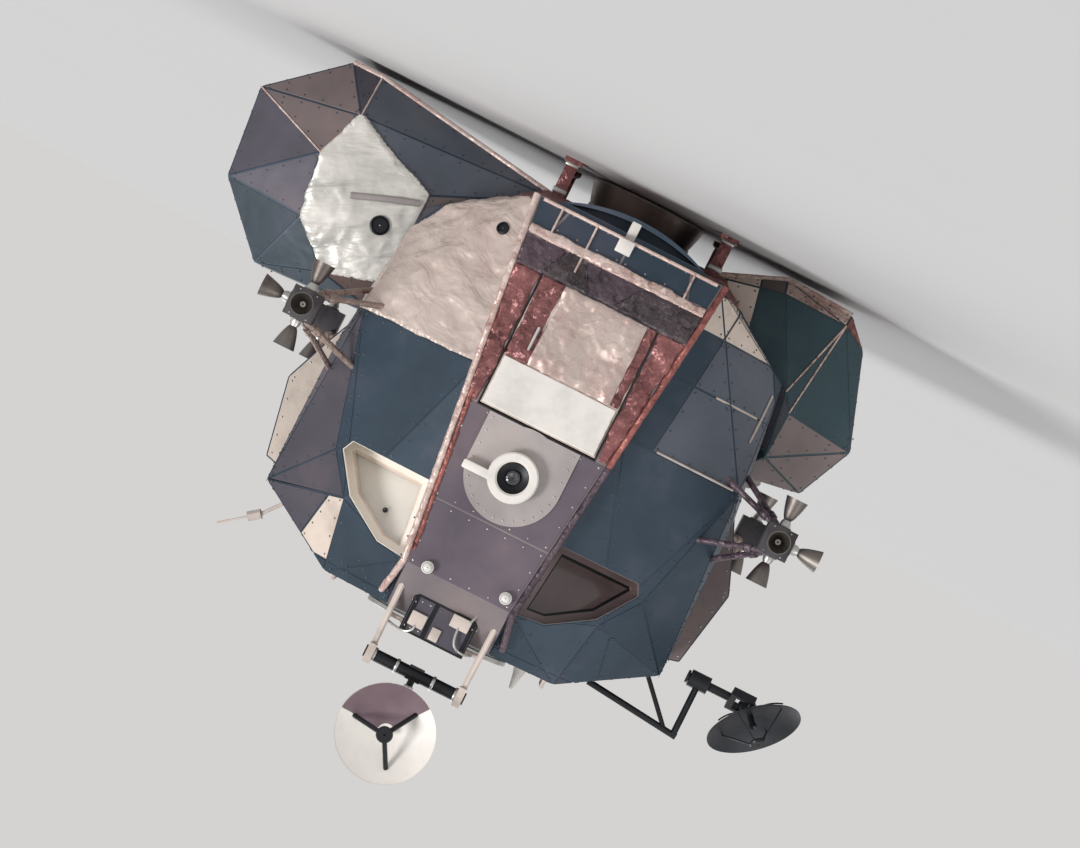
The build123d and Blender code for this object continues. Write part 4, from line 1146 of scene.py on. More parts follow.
class ASCENT_OT_front_band(bpy.types.Operator):
    """Foil, plates and fittings on the band between the windows, and the front hatch"""

    bl_idname = "ascent.front_band"
    bl_label = "Front band"

    def execute(self, context):
        band, hatch = "cabin_front_band", "forward_hatch"
        front = low(band).y
        side = 0.395  # where the foil beside the hatch begins
        top, chin = high(hatch).z + 0.01, low(hatch).z
        torn, foot = chin - 0.19, chin - 0.25
        facing = lambda n: n.y < -0.75
        levels = [at_z(z) for z in (top, chin, torn, foot)]
        sides = levels + [at_x(-side), at_x(side)]
        rips = ((-0.37, 0.5), (-0.12, -0.7), (0.13, 0.6), (0.36, -0.5))
        tears = levels + [at_x(x, chin - 0.08, lean) for x, lean in rips]
        beside = lambda c: abs(c.x) > side - 0.01 and chin < c.z < top
        below = lambda c: torn < c.z < chin
        ripped = lambda c: -0.12 < c.x < 0.13 or c.x > 0.36
        for name, slot, finish, test, lift, cuts in (
            ("band_red_foil", "red_foil", "red_foil", beside, 0.012, sides),
            ("band_torn_foil", "red_foil", "torn_foil", lambda c: below(c) and not ripped(c), 0.016, tears),
            ("band_ripped_foil", "red_foil", "plum_wrap", lambda c: below(c) and ripped(c), 0.01, tears),
            ("band_pink_foil", "beige_foil", "edge_wrap", lambda c: foot < c.z < torn, 0.02, levels),
        ):
            shown = lambda c, n: facing(n) and test(c)
            piece = blanket(band, name, shown, cuts, lift=lift, cell=0.009, fold=0.03, size=0.1, thin=0.5)
            mounted(piece, slot, finish, angle=25)
        brow_cuts = [at_z(top), at_z(high("arch_plate").z + 0.02)]
        foot_cuts = levels + [at_x(x, 0, lean) for x, lean in ((-0.3, 0.3), (0.0, 0), (0.3, -0.3))]
        over = lambda c, n: facing(n) and c.z > top
        under = lambda c, n: facing(n) and c.z < foot
        spots = sheets(band, "band_brow_sheets", over, "brow_panel", brow_cuts, "band_panel")
        spots += sheets(band, "band_foot_sheets", under, "dark_panel", foot_cuts, "band_panel")

        # Foil over the lower two thirds of the hatch, and the folded shield above it
        foil_top = low("hatch_shield").z - 0.004
        left, right = -0.322, 0.232
        cuts = [at_x(left), at_x(right), at_z(foil_top)]
        flat = lambda c, n: n.y < -0.9 and c.z < foil_top and c.y < front + 0.02
        for name, slot, finish, between in (
            ("hatch_beige_foil", "beige_foil", "hatch_foil", True),
            ("hatch_red_foil", "red_foil", "red_foil", False),
        ):
            test = lambda c, n: flat(c, n) and (left < c.x < right) == between
            cover = blanket(hatch, name, test, cuts, lift=0.009, cell=0.01, size=0.12, thin=0.5)
            mounted(cover, slot, finish, hatch, angle=22)
        shield = crumpled(copy_of("hatch_shield", "shield_sheet"), 0.008, 0.006, 0.2)
        mounted(shield, "white_panel", body=hatch, replaces=["hatch_shield"], angle=30)
        inner, outer = front + 0.004, front - 0.045
        grip = [(0.26, y, z) for y, z in ((inner, 1.06), (outer, 1.06), (outer, 1.2), (inner, 1.2))]
        mounted(tubes("hatch_handle", [grip], 0.009), "pale_strut", "bare_metal", hatch)

        # Pale bar along the foot of the band, straps up to it and the bright bracket at the middle of the pan
        z = low(band).z + 0.012
        proud = lambda x, level, out: on_front(band, x, level)[0] + FRONT * out
        straps = [tubes("bar", [[proud(x, z, 0.008) for x in (-0.58, -0.2, 0.2, 0.58)]], 0.012)]
        for x, reach in ((-0.43, torn), (0.22, chin - 0.02), (0.45, torn)):
            points = [proud(x, level, 0.016) for level in (reach, (reach + z) / 2, z)]
            straps.append(tubes("strap", [points], 0.007))
        mounted(joined(straps, "band_foot_bars"), "pale_strut", "edge_wrap")
        lowest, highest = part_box("chin_pan")
        plate = on_front(band, 0.02, 0.4)[0].y
        bracket = slab("bracket", (-0.03, plate - 0.03, 0.35), (0.07, plate + 0.03, 0.44), 0.006)
        tongue = slab(
            "tongue", (-0.015, lowest.y - 0.004, lowest.z + 0.02), (0.045, lowest.y + 0.03, highest.z + 0.02), 0.006
        )
        mounted(joined([bracket, tongue], "pan_bracket"), "pale_strut", "white_panel")

        # Seal strip round the hatch
        edge, sill, head = 0.388, chin - 0.008, top + 0.002
        loop = ((-edge, sill), (edge, sill), (edge, head), (-edge, head), (-edge, sill))
        seal = tubes("hatch_seal", [[(x, front - 0.003, z) for x, z in loop]], 0.006)
        mounted(seal, "dark_panel", "rubber")

        # Border fasteners of the arch plate, clear of the ring-shaped light
        lowest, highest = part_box("arch_plate")
        half = (highest.x - lowest.x) / 2
        knee, rim, light = highest.z - half, half - 0.03, 1.925
        arch = [(rim * math.cos(t), knee + rim * math.sin(t)) for t in [math.pi * k / 14 for k in range(15)]]
        arch += [(s * rim, lowest.z + 0.04 + 0.085 * k) for s in (-1, 1) for k in range(3)]
        spots += [(Vector((x, lowest.y, z)), FRONT) for x, z in arch if math.hypot(x, z - light) > 0.18]
        studded("band_fasteners", spots)
        return {"FINISHED"}


class ASCENT_OT_edge_tubes(bpy.types.Operator):
    """Wrapped tubes along the edges of the band: bright to port, and darker to starboard in painted shade, with red
    foil at its foot
    """

    bl_idname = "ascent.edge_tubes"
    bl_label = "Edge tubes"

    def execute(self, context):
        split = 1.62
        for name, finish, slot, side, way in (
            ("port", "edge_wrap", "pale_strut", 1, 0),
            # The starboard tube's darker plum wrap is painted shade
            ("starboard_upper_painted_shade", "plum_wrap", "pale_strut", -1, 1),
            ("starboard_lower", "red_wrap", "red_foil", -1, -1),
        ):
            tube = copy_of("edge_rails", "edge_rail_" + name)
            opened(tube)
            bpy.ops.mesh.bisect(plane_co=(0, 0, 0), plane_no=(side, 0, 0), clear_inner=True)
            if way:
                bpy.ops.mesh.select_all(action="SELECT")
                bpy.ops.mesh.bisect(plane_co=(0, 0, split), plane_no=(0, 0, way), clear_inner=True, use_fill=True)
            closed()
            mounted(crumpled(tube, 0.0065, 0.006, 0.05, grow=0.3), slot, finish, replaces=["edge_rails"], angle=30)

        # A fold of red foil along the inner side of the port tube
        foot, brow, narrow, widening = 0.34, 2.655, 0.34, 0.268
        run = []
        for level in [0.80 + 0.122 * step for step in range(16)]:
            x = narrow + (brow - level) / (brow - foot) * widening
            run.append(Vector((x - 0.014, low("cabin_front_band").y - 0.004, level)))
        run[0].y += 0.03
        run[-1].y += 0.03
        strip = crumpled(tubes("port_rail_fold", [run], 0.015, smooth=True), 0.005, 0.01, 0.05, 0.45, 0.3)
        mounted(strip, "red_foil", "red_wrap", angle=30)
        return {"FINISHED"}


class ASCENT_OT_windows(bpy.types.Operator):
    """Panes, trims and shade knob of the slanted windows and the roof window"""

    bl_idname = "ascent.windows"
    bl_label = "Windows"

    def execute(self, context):
        # The port pane is clear over its cream shade; the starboard pane's brown tint is a painted reflection
        for hand, finish in (("port", "clear_glass"), ("starboard", "brown_glass")):
            for slot in frame["nodes"]["window_glass_" + hand].material_slots:
                slot.material = finishes[finish]
        # The reveals round the two slanted panes: painted sunlight in bright cream to port, a painted brown reflection
        # to starboard
        for (hand, side), finish in zip(SIDES, ("shade_cream", "taupe_panel")):
            within = Vector((side * 0.66, -1.56, 2.36))
            test = lambda c, n: (within - c).length < 0.5 and n.dot(within - c) > 0.02
            reveal = facets("cabin_face_" + hand, "cabin_reveal_" + hand, test)
            mounted(modified(reveal, "SOLIDIFY", thickness=0.003, offset=1), PANEL_SLOTS.get(finish, finish), finish)
        trim_width, trim_thick = 0.018, 0.006
        for name, facing, finish in (
            # The port trim's cream is painted sunlight, like its reveal
            ("window_glass_port", FRONT, "cream_panel"),
            ("window_glass_starboard", FRONT, "black_anodised"),
            ("docking_window_glass", UP, "black_anodised"),
        ):
            trim = facets(name, name.replace("glass", "trim"), lambda c, n: n.dot(facing) > 0.6)
            opened(trim)
            bpy.ops.mesh.inset(thickness=trim_width, use_boundary=True, use_even_offset=True)
            bpy.ops.mesh.delete(type="FACE")
            closed()
            modified(trim, "SOLIDIFY", thickness=trim_thick, offset=1, use_even_offset=True)
            mounted(trim, "dark_panel", finish)
        spot, out = on_front("window_glass_port", 0.6, 2.449)
        rows = [(0.016, 0), (0.016, 0.01), (0.011, 0.016), (0.003, 0.017)]
        mounted(turned("shade_knob", rows, 20, spot, out), "dark_panel", "black_anodised")
        return {"FINISHED"}


def bell_radius(throat, mouth, share):
    """Radius of a bell at a share of its length."""
    return throat + (mouth - throat) * share**0.62


def bell_rows(throat, mouth, length, wall, steps=8):
    """Rows of a bell's outside from its throat to its mouth and back up inside."""
    shares = [(step / steps) ** 1.5 for step in range(steps + 1)]
    outside = [(bell_radius(throat, mouth, share), length * share) for share in shares]
    inside = [(radius - wall, height) for radius, height in reversed(outside)]
    return outside + inside


class ASCENT_OT_thrusters(bpy.types.Operator):
    """Smooth bells, flanges, housings and struts of the four thruster quads"""

    bl_idname = "ascent.thrusters"
    bl_label = "Thruster quads"

    def execute(self, context):
        half, reach, mouth, neck = 0.095, 0.185, 0.07, 0.046
        strut, cuff_at, chamfer, bolt_ring, bolt_across, bolt_up = 0.019, 0.13, 0.022, 0.041, 0.055, 0.078
        lip = [(mouth - 0.001, 0), (mouth, 0.003), (mouth - 0.0035, 0.005), (mouth - 0.006, 0.002)]
        collar = [(0.006, 0), (0.046, 0), (0.048, 0.006), (0.034, 0.01), (0.033, 0.028), (0.024, 0.047), (0.006, 0.048)]
        sleeve = [(0.0245, 0), (0.027, 0.004), (0.027, 0.05), (0.0245, 0.054), (0.015, 0.054), (0.015, 0)]
        fore_roots = [(1.18, -1.04, 0.36), (1.18, -1.04, -0.33), (1.0, -1.3, 0.26), (1.0, -1.3, -0.26)]
        aft_roots = [(1.34, 1.0, 0.4), (1.3, 1.0, 0.1), (1.34, 1.42, 0.42), (1.3, 1.42, 0.12)]
        places = [(place, end, hand, side) for place, end in (("front", -1), ("aft", 1)) for hand, side in SIDES]
        for place, end, hand, side in places:
            node = f"thruster_quad_{place}_{hand}"
            lowest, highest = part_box(node)
            x = (highest.x if side > 0 else lowest.x) - side * (half + reach)
            y = (highest.y if end > 0 else lowest.y) - end * (half + reach)
            hub = Vector((x, y, (lowest.z + highest.z) / 2))
            bells, collars, spots = [], [], []
            for way in ((0, 0, 1), (0, 0, -1), (side, 0, 0), (0, end, 0)):
                way = Vector(way)
                rows = bell_rows(0.019, mouth, reach - neck, 0.0035)
                bells.append(turned("bell", rows, 32, hub + way * (half + neck), way))
                bells.append(turned("lip", lip, 32, hub + way * (half + reach - 0.0055), way))
                collars.append(turned("collar", collar, 28, hub + way * half, way))
                across = way.orthogonal().normalized()
                other = way.cross(across)
                for t in [math.pi * k / 4 + 0.39 for k in range(8)]:
                    aside = (across * math.cos(t) + other * math.sin(t)) * bolt_ring
                    spots.append((hub + way * (half + 0.006) + aside, way))
            mounted(joined(bells, node + "_bells"), "thruster_grey", replaces=[node])
            for a, b in CORNERS:
                spots.append((hub + Vector((side * half, a * bolt_across, b * bolt_up)), Vector((side, 0, 0))))
                spots.append((hub + Vector((a * bolt_across, end * half, b * bolt_up)), Vector((0, end, 0))))
            collars.append(spread(fastener(0.005, HEAD_HEIGHT, 6), spots, "bolts"))
            mounted(joined(collars, node + "_flanges"), "thruster_grey", "bare_metal")

            corner = Vector((half, half, half))
            box = slab(node + "_housing", hub - corner, hub + corner, 0.003)
            spot_of = lambda vertex: box.data.vertices[vertex].co - hub
            at_corner = lambda v: abs(abs(v.x) - half) < 0.02 and abs(abs(v.y) - half) < 0.02
            upright = lambda a, b: at_corner(spot_of(a)) and abs(spot_of(a).z - spot_of(b).z) > 0.1
            choose_edges(box, upright)
            bpy.ops.mesh.bevel(offset=chamfer, segments=1)
            closed()
            mounted(box, "thruster_grey", "quad_paint")

            runs, cuffs = [], []
            for root_x, root_y, root_z in fore_roots if end < 0 else aft_roots:
                near = hub + Vector((0, 0, math.copysign(half - 0.03, root_z)))
                far = Vector((side * root_x, root_y, hub.z + root_z))
                runs.append([near, far])
                way = (far - near).normalized()
                cuffs.append(turned("sleeve", sleeve, 20, near + way * cuff_at, way))
            struts = joined([tubes("strut", runs, strut, sides=4)] + cuffs, node + "_struts")
            mounted(struts, "thruster_grey", "plum_wrap" if (end, side) == (-1, -1) else "strut_wrap")
        return {"FINISHED"}


class ASCENT_OT_engine(bpy.types.Operator):
    """Bell of the ascent engine with its bands and scorched lining"""

    bl_idname = "ascent.engine"
    bl_label = "Engine bell"

    def execute(self, context):
        down = -UP
        lowest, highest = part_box("engine_nozzle")
        top, mouth, throat, wall = highest.z, highest.x, 0.08, 0.009
        length = top - lowest.z
        parts = [turned("bell", bell_rows(throat, mouth, length, wall * 0.6, 16), 96, (0, 0, top), down)]
        for share in (0.3, 0.52, 0.76):
            r = bell_radius(throat, mouth, share)
            rows = [(r - 0.004, -0.012), (r + 0.009, -0.012), (r + 0.011, 0.012), (r - 0.001, 0.012)]
            parts.append(turned("hoop", rows, 96, (0, 0, top - length * share), down))
        rows = [(mouth - 0.012, 0), (mouth, 0), (mouth, -0.012), (mouth - 0.01, -0.014)]
        parts.append(turned("rim", rows, 96, (0, 0, lowest.z), down))
        mounted(joined(parts, "engine_bell"), "bell_metal", replaces=["engine_nozzle"])
        rows = bell_rows(throat - wall, mouth - wall, length - 0.012, 0.002, 16)
        mounted(turned("engine_lining", rows, 96, (0, 0, top - 0.002), down), "bell_metal", "burnt")
        return {"FINISHED"}


def dish_rows(hub, radius, offset, depth, wall, steps=9):
    """Rows of a dish: its back outwards from the hub, its rim bead, and its face back to the middle."""
    radii = [hub + (radius - hub) * step / steps for step in range(steps + 1)]
    back = [(r, offset - wall + depth * (r / radius) ** 2) for r in radii]
    face = [(r, offset + depth * (r / radius) ** 2) for r in reversed(radii)]
    bead = [(radius - 0.001, offset + depth - 0.004), (radius, offset + depth + 0.002)]
    return back + bead + face + [(hub * 0.5, offset + 0.002), (0.006, offset + 0.001)]


class ASCENT_OT_dishes(bpy.types.Operator):
    """Smooth dishes of the radar and the steerable antenna with their feeds, stays and ribs"""

    bl_idname = "ascent.dishes"
    bl_label = "Dishes"

    def execute(self, context):
        pivots = {joint["child"]: Vector(joint["pos_m"]) for joint in frame["joints"]}
        pitch, yaw = math.radians(127), math.radians(35)
        steered = Vector((-math.sin(yaw), math.cos(yaw) * math.cos(pitch), math.cos(yaw) * math.sin(pitch)))
        yoke_pin = Vector((0, -math.sin(pitch), math.cos(pitch)))
        bore, rim = 0.034, 0.054
        for node, ahead, pin, radius, depth, offset, turns, finish, stay in (
            ("radar_dish", FRONT, UP, 0.305, 0.105, 0.062, (-63, 57, 177), "dish_white", 0.015),
            # The steerable dish's dark grey finish is painted shade
            ("steerable_dish", steered, yoke_pin, 0.3, 0.095, 0.07, (45, 135, 225, 315), "dish_dark", 0.006),
        ):
            pivot = pivots[node]
            across = ahead.cross(pin).normalized()
            place = Matrix((across, ahead.cross(across), ahead)).transposed().to_4x4()
            place.translation = pivot
            feed = offset + depth * 1.9

            def put(piece):
                piece.matrix_world = place
                return settled(piece)

            face = put(turned(node + "_face", dish_rows(rim, radius, offset, depth, 0.006), 72))
            if node == "radar_dish":
                # Painted shadow of the radar's shaft, cast on the upper part of its dish: a darker thin skin on the
                # dish's face between two of its stays
                lift, middle, width = 0.0015, 117, 0.5
                skin = [(r, z + lift) for r, z in dish_rows(rim, radius - 0.004, offset, depth, 0.0)[:10]]
                skin += [(r, z + lift) for r, z in reversed(skin)]
                painted_shadow = put(turned(node + "_sector", skin, 72))
                towards = (place.to_3x3() @ heading(middle)).normalized()
                aside = lambda c: c - pivot - ahead * (c - pivot).dot(ahead)
                keep_only(painted_shadow, lambda c, n: aside(c).normalized().dot(towards) > width)
                mounted(painted_shadow, "dish_dark", "dish_shade", node)
            rows = [(bore, -0.03), (rim - 0.002, -0.03), (rim, -0.026), (rim, offset - 0.002), (bore, offset - 0.002)]
            hub = put(turned(node + "_hub", rows, 40))
            rows = [(0.0166, -0.056), (0.026, -0.056), (0.026, 0.056), (0.0166, 0.056)]
            bearing = turned("bearing", rows, 28, pivot, pin)
            ribs = []
            for k in range(8):
                reach = heading(22.5 + 45 * k)
                rows = ((0.05, 0.016, 0), (0.17, 0.038, 0.17), (0.288, 0.016, 0.288))
                ribs.append([reach * r + UP * (offset - drop + depth * (at / radius) ** 2) for r, drop, at in rows])
            back = put(tubes(node + "_ribs", ribs, 0.005, smooth=True, sides=2))
            mounted(face, finish, body=node, replaces=[node])
            mounted(joined([hub, bearing, back], node + "_back"), "black_anodised", body=node)
            cup = ((0.01, -0.012), (0.03, -0.006), (0.05, 0.004), (0.052, 0.012), (0.046, 0.026), (0.006, 0.026))
            head = put(turned(node + "_feed", [(r, feed + z) for r, z in cup], 36))
            cone = ((0.018, 0), (0.018, 0.05), (0.026, 0.085), (0.022, 0.085), (0.006, 0.06), (0.006, 0))
            horn = put(turned(node + "_horn", [(r, offset + z) for r, z in cone], 28))
            legs = []
            for reach in map(heading, turns):
                legs.append([reach * radius * 0.7 + UP * (offset + depth * 0.49), reach * 0.04 + UP * (feed + 0.008)])
            legs = put(tubes(node + "_stays", legs, stay, sides=2))
            mounted(joined([head, horn, legs], node + "_feed"), "black_anodised", body=node)
        return {"FINISHED"}


class ASCENT_OT_docking(bpy.types.Operator):
    """Tunnel ring with its latches, the hatch under it and the target beside it"""

    bl_idname = "ascent.docking"
    bl_label = "Docking tunnel"

    def execute(self, context):
        lowest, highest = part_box("docking_tunnel")
        top, foot, outer, bore, wall = highest.z, lowest.z, highest.x, 0.4065, 0.04
        rows = [
            (bore, foot),
            (bore + wall, foot),
            (bore + wall, top - 0.034),
            (outer - 0.004, top - 0.032),
            (outer, top - 0.028),
            (outer, top - 0.004),
            (outer - 0.004, top),
            (bore + 0.014, top),
            (bore + 0.004, top - 0.003),
            (bore, top - 0.012),
        ]
        mounted(turned("tunnel_ring", rows, 96), "bare_metal", replaces=["docking_tunnel"])
        latches = []
        for turn in range(15, 360, 30):
            body = slab("latch", (-0.022, -0.028, -0.062), (0.022, 0.0, -0.006), 0.004)
            arm = slab("arm", (-0.009, -0.04, -0.05), (0.009, -0.024, 0.0), 0.003)
            latch = joined([body, arm], "latch")
            spot = heading(turn) * (bore + 0.001) + UP * top
            latch.data.transform(Matrix.Translation(spot) @ Matrix.Rotation(math.radians(turn - 90), 4, "Z"))
            latches.append(latch)
        mounted(joined(latches, "tunnel_latches"), "console_grey", "black_anodised")

        # Ribs and wheel of the overhead hatch
        parts = []
        for k in range(8):
            rib = slab("rib", (0.11, -0.007, 0), (0.36, 0.007, 0.005), 0.002)
            rib.data.transform(Matrix.Rotation(math.radians(22.5 + 45 * k), 4, "Z"))
            parts.append(rib)
        rows = [(0.085, 0.0), (0.105, 0.0), (0.107, 0.003), (0.105, 0.0055), (0.085, 0.0055)]
        parts.append(turned("wheel", rows, 40))
        cover = joined(parts, "overhead_hatch_ribs")
        cover.data.transform(Matrix.Translation((0, 0, high("overhead_hatch").z)))
        mounted(cover, "white_panel", body="overhead_hatch")

        # Plate and standing cross of the target
        lowest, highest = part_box("docking_target")
        x, y, _ = (lowest + highest) / 2
        rows = [(0.004, 0), (0.128, 0), (0.13, 0.003), (0.13, 0.011), (0.128, 0.014), (0.004, 0.014)]
        plate = turned("target_plate", rows, 56, (x, y, lowest.z))
        mounted(plate, "white_panel", replaces=["docking_target"])
        arms = []
        for a, b in ((0.09, 0.011), (0.011, 0.09)):
            arms.append(slab("arm", (x - a, y - b, lowest.z + 0.01), (x + a, y + b, highest.z), 0.002))
        mounted(joined(arms, "target_cross"), "black_anodised")
        return {"FINISHED"}


class ASCENT_OT_lights(bpy.types.Operator):
    """The ring-shaped tracking light and the docking lamps"""

    bl_idname = "ascent.lights"
    bl_label = "Lights"

    def execute(self, context):
        light = "tracking_light"
        lowest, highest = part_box(light)
        radius = (highest.z - lowest.z) / 2
        middle = Vector((lowest.x + radius, highest.y, (lowest.z + highest.z) / 2))
        x, y, z = middle
        depth = y - lowest.y
        bore = 0.096
        rows = [
            (bore, 0.0),
            (radius - 0.004, 0.0),
            (radius, 0.004),
            (radius, depth - 0.012),
            (radius - 0.01, depth - 0.001),
            (bore + 0.012, depth),
            (bore, depth - 0.01),
        ]
        ring = turned("light_ring", rows, 64, middle, FRONT)
        arm = slab("arm", (x + radius - 0.06, y - 0.09, z + 0.02), (highest.x, y - 0.05, z + 0.075), 0.01)
        foot = slab("foot", (highest.x - 0.05, y - 0.06, z + 0.025), (highest.x - 0.004, y, z + 0.07), 0.006)
        mounted(joined([ring, arm, foot], "tracking_light_ring"), "white_panel", replaces=[light])
        brim = bore - 0.0005
        rows = [(brim, depth - 0.02), (bore - 0.004, 0.03), (0.05, 0.012)]
        rows += [(0.004, 0.012), (0.004, 0.006), (brim, 0.006)]
        mounted(turned("light_well", rows, 48, middle, FRONT), "dark_panel", "black_anodised")
        rows = [(0.004, 0.02), (0.03, 0.034), (0.042, 0.03), (0.044, 0.014), (0.004, 0.012)]
        mounted(turned("light_flash", rows, 40, middle, FRONT), "lamp_white", "smoke_glass")

        front, brow = low("cabin_front_band").y, 2.655
        lenses, bezels = [], []
        for spot, size in (
            ((-0.281, front, brow - 0.071), 0.038),
            ((0.216, front, brow - 0.029), 0.038),
            ((0.031, front + 0.18, brow + 0.095), 0.042),
        ):
            rows = [(0.004, 0), (size - 0.002, 0), (size, 0.003), (size, 0.04)]
            rows += [(size - 0.006, 0.046), (size - 0.009, 0.04), (size - 0.012, 0.012), (0.004, 0.01)]
            bezels.append(turned("bezel", rows, 36, spot, FRONT))
            dome = ((1, 0.03), (0.97, 0.042), (0.8, 0.052), (0.5, 0.058), (0.1, 0.06), (0.1, 0.03))
            lenses.append(turned("lens", [((size - 0.008) * share, z) for share, z in dome], 36, spot, FRONT))
        post = tubes("post", [[(0.031, front + 0.15, brow + 0.09), (0.031, front + 0.132, brow + 0.006)]], 0.018)
        bezels = joined(bezels + [post], "lamp_bezels")
        mounted(bezels, "grey_panel", "white_panel", replaces=["docking_lights"])
        mounted(joined(lenses, "lamp_lenses"), "lamp_white")
        return {"FINISHED"}


class ASCENT_OT_radar_mount(bpy.types.Operator):
    """Covers, conduits and brackets on the radar's housing and pedestal"""

    bl_idname = "ascent.radar_mount"
    bl_label = "Radar mount"

    def execute(self, context):
        node = "radar_housing"
        lowest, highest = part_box(node)
        y, z = lowest.y, highest.z - 0.26
        front = lambda c, n: n.y < -0.5 and c.z > z
        spots = sheets(node, "housing_covers", front, "plum_panel", [at_x(0.06)], "black_anodised", 0.014, 0.004, 0.1)
        blocks = [
            slab("relay", (-0.17, y - 0.035, z + 0.03), (-0.05, y + 0.002, z + 0.11), 0.006),
            slab("relay", (0.08, y - 0.028, z + 0.12), (0.18, y + 0.002, z + 0.21), 0.006),
            slab("clamp", (-0.03, y - 0.02, z + 0.16), (0.03, y + 0.002, z + 0.24), 0.005),
        ]
        mounted(joined(blocks, "housing_boxes"), "pale_strut")
        runs = (
            ((-0.11, -0.03, 0.1), (-0.11, -0.04, 0.2), (-0.2, -0.03, 0.24), (-0.25, 0.06, 0.22)),
            ((0.13, -0.025, 0.2), (0.13, -0.03, 0.24), (0.2, 0.0, 0.27), (0.29, 0.08, 0.25)),
            ((-0.16, -0.03, 0.04), (-0.18, -0.03, -0.02), (-0.2, 0.05, -0.1), (-0.2, 0.08, -0.13)),
        )
        runs = [[(across, y + out, z + up) for across, out, up in run] for run in runs]
        mounted(tubes("housing_pipes", runs, 0.008, smooth=True), "bare_metal")
        studded("housing_fasteners", spots)

        # Collars on the radar's bar and on its arm
        pivot = next(Vector(joint["pos_m"]) for joint in frame["joints"] if joint["child"] == "radar_shaft")
        bar = [(0.039, -0.009), (0.0445, -0.009), (0.046, -0.006), (0.046, 0.006), (0.0445, 0.009), (0.039, 0.009)]
        arm = [(0.0235, -0.008), (0.03, -0.008), (0.031, 0.0), (0.03, 0.008), (0.0235, 0.008)]
        collars = [
            turned("collar", bar, 40, pivot + Vector((x, 0, 0)), (1, 0, 0)) for x in (-0.27, -0.12, 0.12, 0.27)
        ]
        collars += [turned("collar", arm, 28, pivot + Vector((0, 0.105, up)), UP) for up in (0.09, 0.2, 0.3)]
        mounted(joined(collars, "radar_collars"), "black_anodised", "bare_metal", "radar_shaft")
        return {"FINISHED"}


class ASCENT_OT_roof_fittings(bpy.types.Operator):
    """Handrails, stub antennas and the antenna for a crew member outside"""

    bl_idname = "ascent.roof_fittings"
    bl_label = "Roof fittings"

    def execute(self, context):
        roof = high("midsection_roof").z
        grip = roof + 0.055
        rails, feet = [], []
        for x, y0, y1 in ((-0.72, -1.25, -0.75), (-0.72, 0.1, 0.6), (0.72, -0.7, -0.25)):
            rails.append([(x, y0, roof), (x, y0, grip), (x, y1, grip), (x, y1, roof)])
            feet += [placed(disc("foot", 0.028, 0.008, 20), (x, y, roof)) for y in (y0, y1)]
        mounted(joined([tubes("rails", rails, 0.012)] + feet, "roof_handrails"), "pale_strut")

        rows = [(0.004, 0), (0.048, 0), (0.05, 0.004), (0.046, 0.01)]
        rows += [(0.03, 0.06), (0.014, 0.14), (0.01, 0.15), (0.004, 0.15)]
        rows = [(r * 0.96, z) for r, z in rows]
        back = high("aft_equipment_rack").y
        stubs = [turned("stub", rows, 36, (-0.56, -1.12, roof), UP), turned("stub", rows, 36, (-0.62, back, 2.08), AFT)]
        mounted(joined(stubs, "stub_cones"), "white_panel", replaces=["stub_antennas"])
        lowest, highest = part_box("eva_antenna")
        x, y, _ = (lowest + highest) / 2
        tall = highest.z - lowest.z
        rows = [(0.004, 0), (0.1, 0), (0.105, 0.006), (0.105, 0.024), (0.1, 0.03), (0.075, 0.05)]
        rows += [(0.055, 0.078), (0.052, 0.086), (0.046, tall), (0.004, tall)]
        mounted(turned("eva_cone", rows, 48, (x, y, lowest.z)), "white_panel", replaces=["eva_antenna"])
        return {"FINISHED"}


class ASCENT_OT_console(bpy.types.Operator):
    """Instruments on the console that shows through the glass"""

    bl_idname = "ascent.console"
    bl_label = "Console"

    def execute(self, context):
        back, top = high("instrument_console").y, high("instrument_console").z
        bezel = [(0.004, 0), (0.036, 0), (0.038, 0.003), (0.036, 0.008), (0.031, 0.006), (0.004, 0.005)]
        first, pitch, hand = -0.25, 0.1, 0.024
        dials, ticks, keys = [], [], []
        for row, drop in enumerate((0.07, 0.18, 0.29)):
            z = top - drop
            for k in range(6):
                x = first + pitch * k
                if (row + k) % 3:
                    dials.append(turned("dial", bezel, 24, (x, back, z), AFT))
                    t, lift = 0.7 * k + row, back + 0.008
                    needle = [(x, lift, z), (x + hand * math.cos(t), lift, z + hand * math.sin(t))]
                    ticks.append(tubes("needle", [needle], 0.0016, sides=1))
                else:
                    for a in (x - 0.022, x, x + 0.022):
                        low_end, high_end = (a - 0.007, back - 0.001, z - 0.02), (a + 0.007, back + 0.012, z + 0.02)
                        keys.append(slab("key", low_end, high_end, 0.002))
        mounted(joined(dials, "console_dials"), "console_grey", "dial")
        mounted(joined(ticks, "console_needles"), "console_grey", "tick")
        mounted(joined(keys, "console_keys"), "console_grey", "strap")
        return {"FINISHED"}


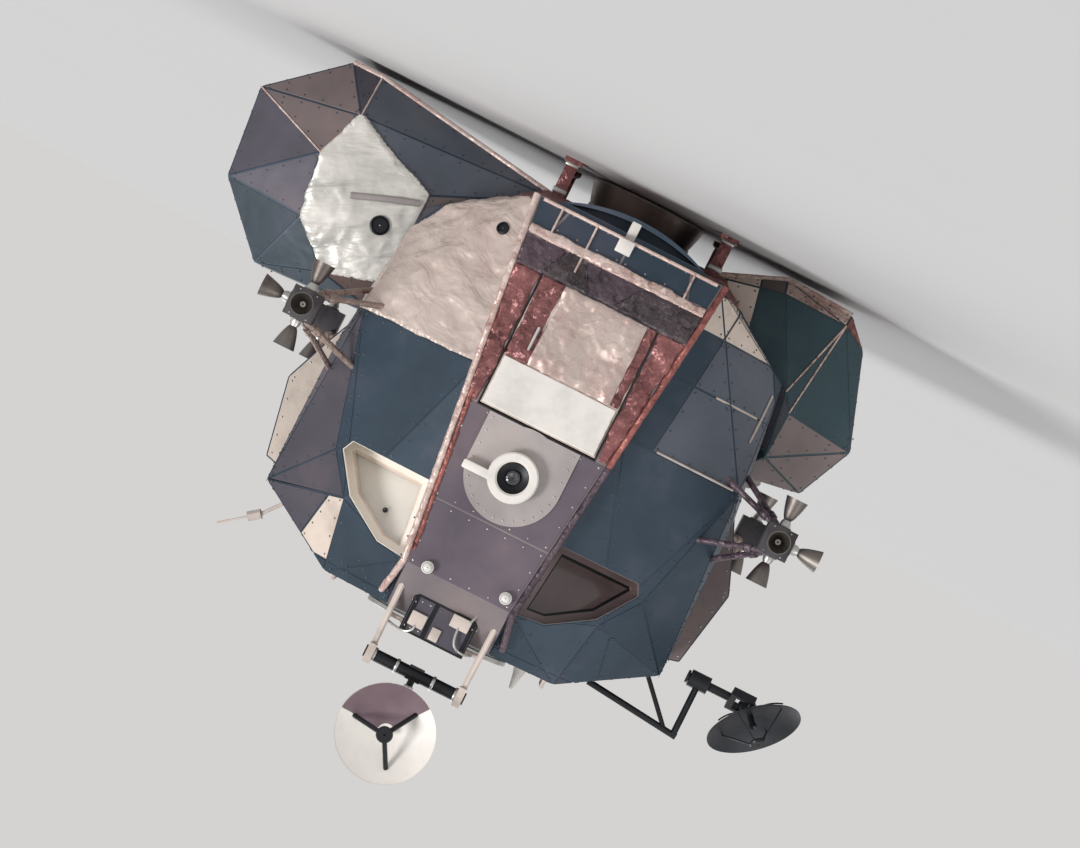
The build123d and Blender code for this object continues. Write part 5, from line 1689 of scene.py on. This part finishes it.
class ASCENT_OT_feet(bpy.types.Operator):
    """Pads, collars and bolt heads of the four feet"""

    bl_idname = "ascent.feet"
    bl_label = "Feet"

    def execute(self, context):
        collars, spots = [], []
        foot_x, foot_y, bolt, pad = 0.54, 0.6, 0.048, 0.028
        for i, j in CORNERS:
            x, y = i * foot_x, j * foot_y
            spots += [(Vector((x + a * bolt, y + b * bolt, pad)), UP) for a, b in CORNERS]
            for half, foot, top in ((0.046, 0.2, 0.235), (0.044, 0.026, 0.05)):
                collars.append(slab("collar", (x - half, y - half, foot), (x + half, y + half, top), 0.006))
        mounted(joined(collars, "foot_collars"), "bare_metal")
        mounted(spread(fastener(0.008, 0.006, 6), spots, "foot_bolts"), "bare_metal", "fastener")
        return {"FINISHED"}


pieces = [
    ASCENT_OT_studio,
    ASCENT_OT_node_finishes,
    ASCENT_OT_cabin_panels,
    ASCENT_OT_tank_bay_panels,
    ASCENT_OT_aft_bay_panels,
    ASCENT_OT_foil_blankets,
    ASCENT_OT_front_band,
    ASCENT_OT_edge_tubes,
    ASCENT_OT_windows,
    ASCENT_OT_thrusters,
    ASCENT_OT_engine,
    ASCENT_OT_dishes,
    ASCENT_OT_docking,
    ASCENT_OT_lights,
    ASCENT_OT_radar_mount,
    ASCENT_OT_roof_fittings,
    ASCENT_OT_console,
    ASCENT_OT_feet,
]


class ASCENT_PT_sidebar(bpy.types.Panel):
    """Sizes, colours and pieces of the ascent stage"""

    bl_label = "Ascent Stage"
    bl_idname = "ASCENT_PT_sidebar"
    bl_space_type = "VIEW_3D"
    bl_region_type = "UI"
    bl_category = "Ascent Stage"

    def draw(self, context):
        for attribute, group in settings.items():
            box = self.layout.box()
            for name in group.__annotations__:
                box.prop(getattr(context.scene, attribute), name)
        for piece in pieces:
            self.layout.operator(piece.bl_idname)


settings = {
    "ascent_colours": AscentColours,
    "ascent_foil": AscentFoil,
    "ascent_panels": AscentPanels,
    "ascent_studio": AscentStudio,
}


def register():
    for attribute, group in settings.items():
        bpy.utils.register_class(group)
        setattr(bpy.types.Scene, attribute, bpy.props.PointerProperty(type=group))
    for piece in pieces:
        bpy.utils.register_class(piece)
    bpy.utils.register_class(ASCENT_PT_sidebar)


def unregister():
    bpy.utils.unregister_class(ASCENT_PT_sidebar)
    for piece in reversed(pieces):
        bpy.utils.unregister_class(piece)
    for attribute, group in settings.items():
        delattr(bpy.types.Scene, attribute)
        bpy.utils.unregister_class(group)


def main():
    register()
    scene = bpy.context.scene
    scene.view_settings.view_transform = "Standard"
    for piece in pieces:
        group, name = piece.bl_idname.split(".")
        getattr(getattr(bpy.ops, group), name)()


if __name__ == "__main__":
    main()
